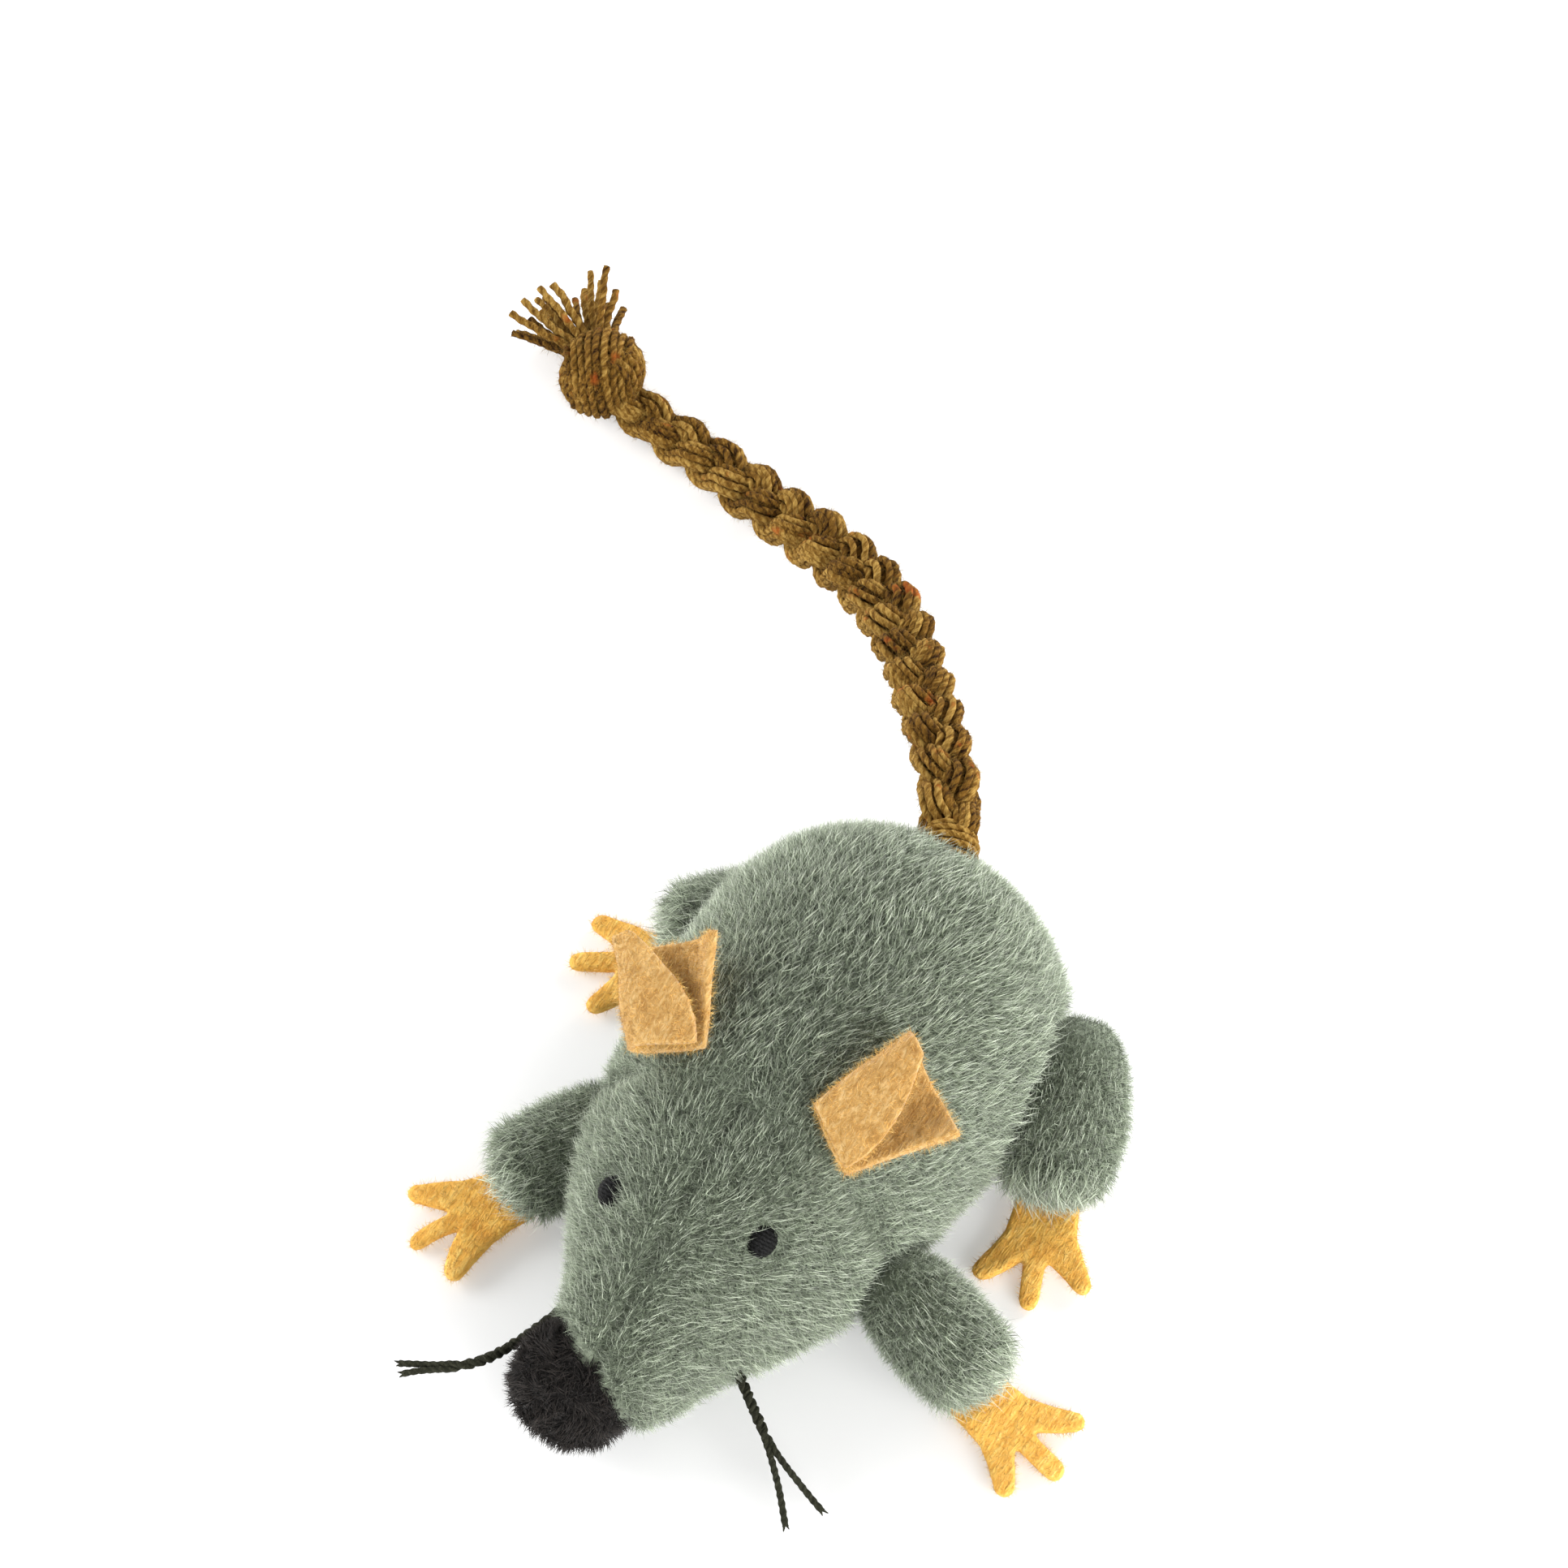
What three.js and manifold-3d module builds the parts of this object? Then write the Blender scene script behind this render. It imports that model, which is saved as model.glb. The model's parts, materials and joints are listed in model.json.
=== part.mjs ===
// Catnip mouse: a stuffed plush mouse with felt ears and paws, a pompom nose,
// thread whiskers and a plaited wool tail.
// Millimetres, +Z up. The mouse faces -Y, its left side is +X, and it lies on its belly at z = 0.
import * as THREE from "three";
import { mergeVertices } from "three/addons/utils/BufferGeometryUtils.js";
import Module from "manifold-3d";

const wasm = await Module();
wasm.setup();

// Stuffed body and head
const BODY_LENGTH = 90; // front of the muzzle to the end of the rump
const BODY_WIDTH = 50;
const BODY_HEIGHT = 42;
const PLUSH = 3; // backing cloth and pile together
const GAP = 0.3; // between pieces that touch
const TIDY = 0.07; // slivers below this are merged after a cut
const NECK = 0.4; // neck seam, as a share of the body length from the muzzle
const BELLY_SEAM = 6; // height of the seam round the belly panel
const REST_CUT = 0.5; // how deep the belly is pressed flat where it rests
const SECTION_SIDES = 22;
const FILL_SIDES = 14; // the stuffing inside is drawn with fewer sides

// Half width, top and bottom of the body along its length, as shares of the sizes above
const WIDTH_LINE = [[0, 0.1], [0.025, 0.25], [0.07, 0.36], [0.15, 0.48], [0.23, 0.65], [0.35, 0.85],
  [0.5, 0.95], [0.66, 1], [0.8, 0.98], [0.91, 0.81], [0.97, 0.53], [1, 0.14]];
const TOP_LINE = [[0, 0.33], [0.025, 0.43], [0.07, 0.52], [0.13, 0.61], [0.22, 0.73], [0.36, 0.88],
  [0.5, 0.97], [0.64, 1], [0.8, 0.97], [0.91, 0.85], [0.97, 0.69], [1, 0.52]];
const BOTTOM_LINE = [[0, 0.23], [0.025, 0.15], [0.07, 0.09], [0.13, 0.05], [0.24, 0], [0.5, 0], [0.8, 0],
  [0.91, 0.07], [0.97, 0.19], [1, 0.32]];
const STATIONS = [0, 0.025, 0.08, 0.16, 0.24, 0.32, 0.42, 0.54, 0.66, 0.77, 0.86, 0.92, 0.965, 0.99, 1];
const EQUATOR = 0.4; // height of the widest line, as a share of each section
const BELLY_SQUARE = 0.72; // below 1 the underside is fuller than an ellipse

// Stuffing and catnip
const SACHET_LENGTH = 34;
const SACHET_WIDTH = 24;
const SACHET_HEIGHT = 9;
const SACHET_AT = 4; // its middle behind the middle of the body
const SACHET_FLOOR = PLUSH - REST_CUT + GAP;
const SACHET_SIDES = 11;
const SACHET_END = 0.75; // width of its ends, as a share of its width
// Place along the sachet from its middle, and how full it is there
const SACHET_LINE = [[-1, 0.12], [-0.94, 0.42], [-0.7, 0.8], [-0.3, 0.98], [0.3, 0.98], [0.7, 0.8],
  [0.94, 0.42], [1, 0.12]];

// Face
const NOSE_RADIUS = 8.2;
const NOSE_ASIDE = -3.2; // from the middle of the face
const NOSE_SUNK = 4; // its middle behind the front of the muzzle
const NOSE_UP = 0.24; // share of the body height
const EYE_WIDTH = 3.3;
const EYE_HEIGHT = 4;
const EYE_DEPTH = 2;
const EYE_SUNK = 0.5; // its middle below the tips of the pile
// Share of the body length from the muzzle, and distance from the middle of the face
const EYES = { eye_left: [0.275, 11.2], eye_right: [0.235, -10.2] };
const EYE_DOME = [[0.55, 0.9], [0.2, 1], [-0.25, 0.86], [-0.5, 0.5]]; // shares of its depth and width
const EYE_TOP = 0.6; // share of its depth
const WHISKER_DIAMETER = 1;
// The route of each pair of threads from inside the head, with Y from the front of the muzzle,
// and how far apart the two tips are
const WHISKERS = {
  left: { route: [[11, 17.8, 10], [21, 11.6, 6], [28.8, 7.3, 2.4]], spread: 5.4 },
  right: { route: [[-10, 14, 9.8], [-15.6, 1.2, 7.8], [-24, -4.8, 6.2]], spread: 1.8 },
};

// Ears, each a felt leaf with one side folded over and the other curled up at the tip
const FELT = 1.3;
const EAR_LENGTH = 14.6;
const EAR_BASE = 8.2;
const EAR_TIP = 11.2;
const EAR_FOLD = 1.1; // radius of the fold at the base, to the middle of the felt
const EAR_FOLD_TIP = 2.6;
const EAR_FLAP = 0.95; // how far the flap reaches across the base
const EAR_FLAP_TIP = 0.4; // what is left of the flap at the tip
const EAR_BULGE = 1.7; // above 1 the free edge of the flap is rounded outwards
const EAR_CURL = 4.2; // how far the free side rises at the tip
const EAR_CURL_FROM = 0.3; // share of the width from which it rises
// Share of the body length, distance from the middle line, and degrees turned out from straight back
const EARS = { ear_left: [0.42, 11.7, 30], ear_right: [0.418, -9.8, 26] };
const EAR_ROLL = 20;
const EAR_LIFT = 7;
const EAR_CLEAR = 0.7;

// Limbs, each a plush sleeve round a plug of stuffing with a felt paw at its end
const SLEEVE = 2;
// Radii along a limb, its length, and how far the middle of its end is above the root of the paw
const ARM = { root: 6.9, middle: 7.3, end: 6.9, face: 5.4, length: 10.2, ankle: 4.6 };
const LEG = { root: 8.2, middle: 8.8, end: 7.8, face: 5.8, length: 12, ankle: 5.2 };
// Seam of each limb as shares of the half width, length and height of the body, then the heading
// and how far it swings to its right and left, in degrees
const LIMBS = {
  arm_left: { size: ARM, seam: [1.01, 0.404, 0.257], yaw: 78, swing: [-20, 25] },
  arm_right: { size: ARM, seam: [-0.832, 0.396, 0.243], yaw: -32, swing: [-30, 0] },
  leg_left: { size: LEG, seam: [1, 0.822, 0.33], yaw: 22, swing: [-10, 25] },
  leg_right: { size: LEG, seam: [-0.7, 0.82, 0.27], yaw: -58, swing: [-12, 12] },
};
const LIMB_SIDES = 12;
const ROOT_ANGLES = [25, 60, 90]; // degrees from the axis, round the ball at a limb's root
const LIMB_CAP = 3.6; // from the last full width to the flat end
const LIMB_ROUND = 0.8; // rounding of that end
const SEAT_ROOM = 0.6; // round a limb as it swings
const PAW_ROOT = 8;
const PAW_PALM = 4.6; // radius of the palm
const PAW_MIDDLE = 4; // root to the middle of the palm
const TOE_WEB = 3.7; // middle of the palm to the web between two toes
const FELT_RIM = 0.36; // rounding of a cut felt edge
const PAW_LENGTH = 14.2; // root to the tip of the middle toe
const TOE_WIDTH = 2.7;
const TOE_FAN = 46; // degrees between toes
const TOE_STEPS = 4;
const PAW_REST = 0.25; // toes above the floor
const PAW_CLEAR = 0.8; // room at the root for the paw to bend
const PAW_DROOP = 9;

// Tail: three strands in a plait, then a knot and the loose yarn ends
const STRAND = 2.3;
const PLAIT_WIDE = 2.7; // how far a strand swings to each side
const PLAIT_DEEP = 1.9;
const PLAIT_PITCH = 20;
const PLAIT_STEPS = 42;
// Thickness of the plait along the tail, as a share of the sizes above
const PLAIT_LINE = [[0, 0.96], [0.35, 1.05], [0.65, 1.05], [0.85, 0.86], [1, 0.72]];
const TAIL_ROOT = 4.2; // radius of the bound end in the rump
const TAIL_ASIDE = -1.9;
const TAIL_ALONG = 0.962; // share of the body length
const TAIL_UP = 0.655; // share of the body height
// Sideways and back from the root, and height as a share of the height of the root
const TAIL_ROUTE = [[0, 0, 1], [-4.4, 7, 1.02], [-10.5, 14, 0.93], [-18.4, 22.4, 0.76], [-26.1, 30.2, 0.6],
  [-34.3, 36.5, 0.45], [-43.3, 41, 0.315], [-55.7, 44.6, 0.195], [-68.4, 47.3, 0.145], [-82.5, 49.4, 0.125]];
const KNOT_LONG = 12;
const KNOT_WIDE = 11.5;
const KNOT_HIGH = 11;
const TASSEL_LENGTH = 9;
const TASSEL_NECK = 2.4; // radius
const TASSEL_BOUND = 2; // length of the neck
const TASSEL_TIERS = [14, -8, -24]; // degrees up or down, yarn by yarn
const TASSEL_YARNS = 13;
const TASSEL_FAN = 78; // degrees
const TASSEL_TURN = 18; // degrees that the loose ends turn away from the line of the tail
const YARN = 1.1;
const YARN_TAPER = 0.2; // share that a yarn loses to its tip and gains at its root
const ROUND_SIDES = 8; // of a thread or strand
const LUMP_SIDES = 14; // of a knot

const SAGE = 0x84917b;
const OCHRE = 0xd9a24f;
const BROWN = 0x7a5426;
const BLACK = 0x26231f;
const THREAD = 0x37352a;
const FILL = 0xefece2;
const LINEN = 0xc9b98f;

const radians = THREE.MathUtils.degToRad;
const vector = (p) => new THREE.Vector3(p[0], p[1], p[2]);

// A named mesh with its own material.
function piece(name, geometry, color, roughness) {
  const material = new THREE.MeshStandardMaterial({ color, roughness, metalness: 0 });
  const mesh = new THREE.Mesh(geometry, material);
  mesh.name = name;
  return mesh;
}

// A closed geometry from points and triangles, turned to face out.
function closed(points, triangles) {
  const volume = triangles.reduce((sum, [a, b, c]) => (
    sum + points[a].dot(points[b].clone().cross(points[c]))
  ), 0);
  const faces = volume < 0 ? triangles.map(([a, b, c]) => [a, c, b]) : triangles;
  const geometry = new THREE.BufferGeometry().setFromPoints(points);
  geometry.setIndex(faces.flat());
  geometry.computeVertexNormals();
  return geometry;
}

// Joins rings of points in order. A ring of one point is a tip.
// A looped skin joins its last ring to its first.
function skin(rings, looped = false) {
  const points = rings.flat();
  const starts = [];
  rings.reduce((start, ring) => {
    starts.push(start);
    return start + ring.length;
  }, 0);
  const triangles = [];
  const pairs = looped ? rings.length : rings.length - 1;
  for (let i = 0; i < pairs; i += 1) {
    const j = (i + 1) % rings.length;
    const count = Math.max(rings[i].length, rings[j].length);
    for (let k = 0; k < count; k += 1) {
      const next = (k + 1) % count;
      const a = starts[i] + (rings[i].length === 1 ? 0 : k);
      const b = starts[i] + (rings[i].length === 1 ? 0 : next);
      const c = starts[j] + (rings[j].length === 1 ? 0 : next);
      const d = starts[j] + (rings[j].length === 1 ? 0 : k);
      if (a !== b) triangles.push([a, b, c]);
      if (c !== d) triangles.push([a, c, d]);
    }
  }
  return closed(points, triangles);
}

// A curved sheet with thickness, from rows of points on its middle surface.
function sheet(rows, thickness) {
  const height = rows.length;
  const width = rows[0].length;
  const at = (v, u) => rows[Math.min(Math.max(v, 0), height - 1)][Math.min(Math.max(u, 0), width - 1)];
  const sides = [1, -1].map((side) => rows.flatMap((row, v) => row.map((point, u) => {
    const along = at(v + 1, u).clone().sub(at(v - 1, u));
    const across = at(v, u + 1).clone().sub(at(v, u - 1));
    return point.clone().addScaledVector(across.cross(along).normalize(), (side * thickness) / 2);
  })));
  const back = height * width;
  const triangles = [];
  const quad = (a, b, c, d) => triangles.push([a, b, c], [a, c, d]);
  for (let v = 0; v < height - 1; v += 1) {
    for (let u = 0; u < width - 1; u += 1) {
      const a = v * width + u;
      quad(a, a + 1, a + width + 1, a + width);
      quad(back + a, back + a + width, back + a + width + 1, back + a + 1);
    }
  }
  for (let u = 0; u < width - 1; u += 1) {
    const top = (height - 1) * width + u;
    quad(u, back + u, back + u + 1, u + 1);
    quad(top, top + 1, back + top + 1, back + top);
  }
  for (let v = 0; v < height - 1; v += 1) {
    const a = v * width;
    const b = a + width - 1;
    quad(a, a + width, back + a + width, back + a);
    quad(b, back + b, back + b + width, b + width);
  }
  return closed(sides.flat(), triangles);
}

function middleOf(points) {
  return points.reduce((sum, point) => sum.add(point), new THREE.Vector3()).divideScalar(points.length);
}

function ring(count, place) {
  return Array.from({ length: count }, (_, i) => place((i / count) * Math.PI * 2));
}

// Booleans
function solid(geometry) {
  const bare = geometry.clone();
  bare.deleteAttribute("normal");
  bare.deleteAttribute("uv");
  const merged = mergeVertices(bare, 1e-4);
  return new wasm.Manifold(new wasm.Mesh({
    numProp: 3,
    vertProperties: merged.attributes.position.array,
    triVerts: new Uint32Array(merged.index.array),
  }));
}

// The surface of a cut solid, without the crumbs that a cut leaves at a seam.
function surface(manifold) {
  const pieces = manifold.simplify(TIDY).decompose();
  const mesh = pieces.reduce((largest, one) => (one.volume() > largest.volume() ? one : largest)).getMesh();
  const geometry = new THREE.BufferGeometry();
  geometry.setAttribute("position", new THREE.BufferAttribute(mesh.vertProperties, 3));
  geometry.setIndex(new THREE.BufferAttribute(mesh.triVerts, 1));
  geometry.computeVertexNormals();
  return geometry;
}

// A block between two corners, for cutting.
function block(low, high) {
  const size = vector(high).sub(vector(low));
  const geometry = new THREE.BoxGeometry(size.x, size.y, size.z);
  geometry.translate(...vector(low).addScaledVector(size, 0.5).toArray());
  return solid(geometry);
}

function ball(center, radius, across = 16) {
  const geometry = new THREE.SphereGeometry(radius, across, across / 2);
  geometry.translate(center.x, center.y, center.z);
  return solid(geometry);
}

// Body form
function line(points) {
  return new THREE.SplineCurve(points.map(([along, share]) => new THREE.Vector2(along, share)));
}

// The share that an outline gives at a place along the body.
function shareAt(points, along) {
  const curve = line(points);
  let low = 0;
  let high = 1;
  for (let i = 0; i < 30; i += 1) {
    const middle = (low + high) / 2;
    if (curve.getPoint(middle).x < along) low = middle;
    else high = middle;
  }
  return curve.getPoint(low).y;
}

// Half width, top, bottom and widest height of the section at a share of the body length.
function section(along, inset = 0) {
  const half = (shareAt(WIDTH_LINE, along) * BODY_WIDTH) / 2 - inset;
  const top = shareAt(TOP_LINE, along) * BODY_HEIGHT - inset;
  const bottom = shareAt(BOTTOM_LINE, along) * BODY_HEIGHT - REST_CUT + inset;
  return { half, top, bottom, widest: bottom + (top - bottom) * EQUATOR };
}

function lengthAt(along) {
  return (along - 0.5) * BODY_LENGTH;
}

// The stuffed form of body and head together, drawn in from the outside by an inset.
function bodyForm(inset, sides = SECTION_SIDES) {
  const shrink = 1 - (2 * inset) / BODY_LENGTH;
  const rings = STATIONS.map((along) => {
    const { half, top, bottom, widest } = section(along, inset * Math.min(1, shareAt(WIDTH_LINE, along) * 2));
    return ring(sides, (angle) => {
      const rise = Math.sin(angle);
      const up = rise > 0 ? (top - widest) * rise : -(widest - bottom) * Math.abs(rise) ** BELLY_SQUARE;
      return new THREE.Vector3(half * Math.cos(angle), lengthAt(along) * shrink, widest + up);
    });
  });
  return solid(skin([[middleOf(rings[0])], ...rings, [middleOf(rings.at(-1))]]));
}

// The point on the upper body at a share of its length and a distance from the middle line.
function onBack(along, out) {
  const { half, top, widest } = section(along);
  const lift = Math.sqrt(1 - Math.min(1, (out / half) ** 2));
  return new THREE.Vector3(out, lengthAt(along), widest + (top - widest) * lift);
}

// The outward direction of the upper body at such a point.
function outwardAt(along, out) {
  const step = 0.01;
  const sideways = onBack(along, out + step * BODY_WIDTH).sub(onBack(along, out - step * BODY_WIDTH));
  const lengthways = onBack(along + step, out).sub(onBack(along - step, out));
  return sideways.cross(lengthways).normalize();
}

// Limbs
// Distances along a limb from its seam and the radius there, drawn in by an inset.
function limbProfile(size, inset) {
  const root = size.root - inset;
  const end = size.length + LIMB_CAP - inset;
  return [
    ...ROOT_ANGLES.map((angle) => [-root * Math.cos(radians(angle)), root * Math.sin(radians(angle))]),
    [size.length / 2, size.middle - inset],
    [Math.min(size.length, end - LIMB_ROUND * 2), size.end - inset],
    [end - LIMB_ROUND, size.face + LIMB_ROUND - inset],
    [end, size.face - inset],
  ];
}

function limbRing([along, radius]) {
  return ring(LIMB_SIDES, (angle) => (
    new THREE.Vector3(radius * Math.cos(angle), -along, radius * Math.sin(angle))
  ));
}

function onLimbAxis([along]) {
  return [new THREE.Vector3(0, -along, 0)];
}

// The plush sleeve: a cup that is open where it is sewn to the body.
function sleeveGeometry(size) {
  const outer = limbProfile(size, 0);
  const inner = limbProfile(size, SLEEVE).reverse();
  const ends = [onLimbAxis(outer.at(-1)), onLimbAxis(inner[0])];
  return skin([...outer.map(limbRing), ...ends, ...inner.map(limbRing)], true);
}

// The whole limb without its paw, drawn in by an inset.
function limbForm(profile) {
  return skin([onLimbAxis(profile[0]), ...profile.map(limbRing), onLimbAxis(profile.at(-1))]);
}

const pawRootUp = FELT / 2 + PAW_REST + PAW_LENGTH * Math.sin(radians(PAW_DROOP));

// The middle of a limb's seam.
function seamOf({ seam }) {
  return new THREE.Vector3((seam[0] * BODY_WIDTH) / 2, lengthAt(seam[1]), seam[2] * BODY_HEIGHT);
}

// How far a limb hangs, in radians, for its paw to lie on the floor.
function droopOf(made) {
  const fall = seamOf(made).z - pawRootUp - made.size.ankle;
  return Math.asin(fall / (made.size.length + LIMB_CAP));
}

// The room a limb needs in the body, from end to end of its swing.
function limbSeat(made) {
  const form = limbForm(limbProfile(made.size, -SEAT_ROOM)).rotateX(droopOf(made));
  const [low, high] = made.swing;
  return [low, (low + high) / 2, high].map((turn) => (
    solid(form.clone().rotateZ(radians(made.yaw + turn)).translate(...seamOf(made).toArray()))
  )).reduce((all, turned) => all.add(turned)).simplify(SEAT_ROOM / 3);
}

// A felt paw with three toes, its root edge on the X axis and its toes along -Y.
function pawGeometry() {
  const tip = PAW_LENGTH - TOE_WIDTH / 2;
  const palm = new THREE.Vector2(0, -PAW_MIDDLE);
  const outline = [new THREE.Vector2(PAW_ROOT / 2, 0), new THREE.Vector2(PAW_PALM, palm.y)];
  [1, 0, -1].forEach((toe) => {
    const aim = radians(toe * TOE_FAN);
    const forward = new THREE.Vector2(Math.sin(aim), -Math.cos(aim));
    const side = new THREE.Vector2(Math.cos(aim), Math.sin(aim));
    const reach = tip + palm.y;
    const end = palm.clone().addScaledVector(forward, reach);
    for (let i = 0; i <= TOE_STEPS; i += 1) {
      const turn = (i / TOE_STEPS) * Math.PI;
      outline.push(end.clone()
        .addScaledVector(side, (Math.cos(turn) * TOE_WIDTH) / 2)
        .addScaledVector(forward, (Math.sin(turn) * TOE_WIDTH) / 2));
    }
    if (toe > -1) {
      const web = radians((toe - 0.5) * TOE_FAN);
      outline.push(palm.clone().addScaledVector(new THREE.Vector2(Math.sin(web), -Math.cos(web)), TOE_WEB));
    }
  });
  outline.push(new THREE.Vector2(-PAW_PALM, palm.y), new THREE.Vector2(-PAW_ROOT / 2, 0));
  const depth = FELT - 2 * FELT_RIM;
  const geometry = new THREE.ExtrudeGeometry(new THREE.Shape(outline.reverse()), {
    depth, steps: 1, bevelThickness: FELT_RIM, bevelSize: FELT_RIM, bevelOffset: -FELT_RIM, bevelSegments: 1,
  });
  return geometry.translate(0, 0, -depth / 2);
}

// One limb in a group at its seam.
function limb(name, made) {
  const { size, yaw } = made;
  const droop = droopOf(made);
  const group = new THREE.Group();
  group.name = name;
  group.position.copy(seamOf(made));
  group.rotation.z = radians(yaw);
  const sleeve = piece(`${name}_sleeve`, sleeveGeometry(size), SAGE, 0.95);
  const plug = piece(`${name}_stuffing`, limbForm(limbProfile(size, SLEEVE + GAP)), FILL, 1);
  sleeve.rotation.x = droop;
  plug.rotation.x = droop;
  const paw = piece(`${name}_paw`, pawGeometry(), OCHRE, 0.95);
  const drop = pawRootUp - group.position.z;
  const reach = (size.length + LIMB_CAP) / Math.cos(droop) + drop * Math.tan(droop);
  paw.position.set(0, -reach - PAW_CLEAR, drop);
  paw.rotation.x = radians(PAW_DROOP);
  group.add(sleeve, plug, paw);
  return group;
}

// Plush panels
const outside = bodyForm(0);
const lining = bodyForm(PLUSH);
const core = bodyForm(PLUSH + GAP, FILL_SIDES);
const neckAt = lengthAt(NECK);
const far = BODY_LENGTH;

// What the limbs, the nose and the tail take out of the plush and the stuffing.
const noseAt = new THREE.Vector3(NOSE_ASIDE, lengthAt(0) + NOSE_SUNK, NOSE_UP * BODY_HEIGHT);
const tailRoot = new THREE.Vector3(TAIL_ASIDE, lengthAt(TAIL_ALONG), TAIL_UP * BODY_HEIGHT);
const eyeAt = (place) => onBack(...place).addScaledVector(outwardAt(...place), -EYE_SUNK);
const seats = [
  ball(noseAt, NOSE_RADIUS + GAP),
  ...Object.values(EYES).map((place) => ball(eyeAt(place), EYE_HEIGHT / 2 + GAP, LIMB_SIDES)),
  ball(tailRoot, TAIL_ROOT + GAP),
  ...Object.values(LIMBS).map(limbSeat),
].reduce((all, seat) => all.add(seat));
const plush = outside.subtract(lining).subtract(seats);

function cut(form, low, high) {
  return surface(form.intersect(block(low, high)));
}

const half = GAP / 2;
const above = BELLY_SEAM + half;
const below = BELLY_SEAM - half;
const panels = new THREE.Group();
panels.name = "plush_panels";
panels.add(
  piece("head_left_panel", cut(plush, [half, -far, above], [far, neckAt - half, far]), SAGE, 0.95),
  piece("head_right_panel", cut(plush, [-far, -far, above], [-half, neckAt - half, far]), SAGE, 0.95),
  piece("back_left_panel", cut(plush, [half, neckAt + half, above], [far, far, far]), SAGE, 0.95),
  piece("back_right_panel", cut(plush, [-far, neckAt + half, above], [-half, far, far]), SAGE, 0.95),
  piece("chin_panel", cut(plush, [-far, -far, 0], [far, neckAt - half, below]), SAGE, 0.95),
  piece("belly_panel", cut(plush, [-far, neckAt + half, 0], [far, far, below]), SAGE, 0.95),
);

// Stuffing, with a pocket above the belly for the catnip
function pillow(grow) {
  const rings = SACHET_LINE.map(([along, full]) => ring(SACHET_SIDES, (angle) => new THREE.Vector3(
    (SACHET_WIDTH / 2 + grow) * Math.cos(angle) * (SACHET_END + (1 - SACHET_END) * full),
    SACHET_AT + along * (SACHET_LENGTH / 2 + grow),
    SACHET_FLOOR + SACHET_HEIGHT / 2 + (SACHET_HEIGHT / 2 + grow) * full * Math.sin(angle),
  )));
  return skin([[middleOf(rings[0])], ...rings, [middleOf(rings.at(-1))]]);
}

const pocket = solid(pillow(GAP)).add(block(
  [-SACHET_WIDTH / 3, SACHET_AT - SACHET_LENGTH / 3, -far],
  [SACHET_WIDTH / 3, SACHET_AT + SACHET_LENGTH / 3, SACHET_FLOOR + SACHET_HEIGHT / 2],
));
const filling = core.subtract(seats).subtract(pocket);
const inside = new THREE.Group();
inside.name = "filling";
inside.add(
  piece("head_stuffing", cut(filling, [-far, -far, -far], [far, neckAt - half, far]), FILL, 1),
  piece("body_stuffing", cut(filling, [-far, neckAt + half, -far], [far, far, far]), FILL, 1),
  piece("catnip_sachet", pillow(0), LINEN, 0.9),
);

// Face
function nose() {
  const mesh = piece("pompom_nose", new THREE.SphereGeometry(NOSE_RADIUS, 18, 11), BLACK, 1);
  mesh.geometry = surface(solid(mesh.geometry));
  mesh.position.copy(noseAt);
  return mesh;
}

// A domed pad of black stitching, half sunk in the plush.
function eye(name, place) {
  const pad = EYE_DOME.map(([depth, full]) => (
    ring(LIMB_SIDES, (angle) => new THREE.Vector3(
      (EYE_WIDTH / 2) * full * Math.cos(angle),
      (EYE_HEIGHT / 2) * full * Math.sin(angle),
      -EYE_DEPTH * depth,
    ))
  ));
  const top = [new THREE.Vector3(0, 0, EYE_DEPTH * EYE_TOP)];
  const base = [new THREE.Vector3(0, 0, -EYE_DEPTH * EYE_DOME[0][0])];
  const mesh = piece(name, skin([base, ...pad, top]), BLACK, 0.8);
  mesh.position.copy(eyeAt(place));
  mesh.up.set(0, 1, 0);
  mesh.lookAt(mesh.position.clone().add(outwardAt(...place)));
  return mesh;
}

// The outline of a round thread or strand, for sweeping.
function roundOutline(diameter) {
  return new THREE.Shape(ring(ROUND_SIDES, (angle) => (
    new THREE.Vector2(Math.cos(angle), Math.sin(angle)).multiplyScalar(diameter / 2)
  )));
}

const headRoom = bodyForm(-GAP);

// One of two threads that leave the muzzle together and part towards their tips.
function whisker(name, { route, spread }, side) {
  const points = route.map(([x, y, z]) => new THREE.Vector3(x, lengthAt(0) + y, z));
  const across = new THREE.Vector3(0, 0, 1).cross(points[2].clone().sub(points[0])).normalize();
  const together = (WHISKER_DIAMETER + GAP) / 2;
  const thread = [together, together, spread / 2].map((apart, i) => (
    points[i].clone().addScaledVector(across, side * apart)
  ));
  const geometry = new THREE.ExtrudeGeometry(roundOutline(WHISKER_DIAMETER), {
    steps: 8, bevelEnabled: false, extrudePath: new THREE.CatmullRomCurve3(thread),
  });
  return piece(name, surface(solid(geometry).subtract(headRoom)), THREAD, 0.7);
}

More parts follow.
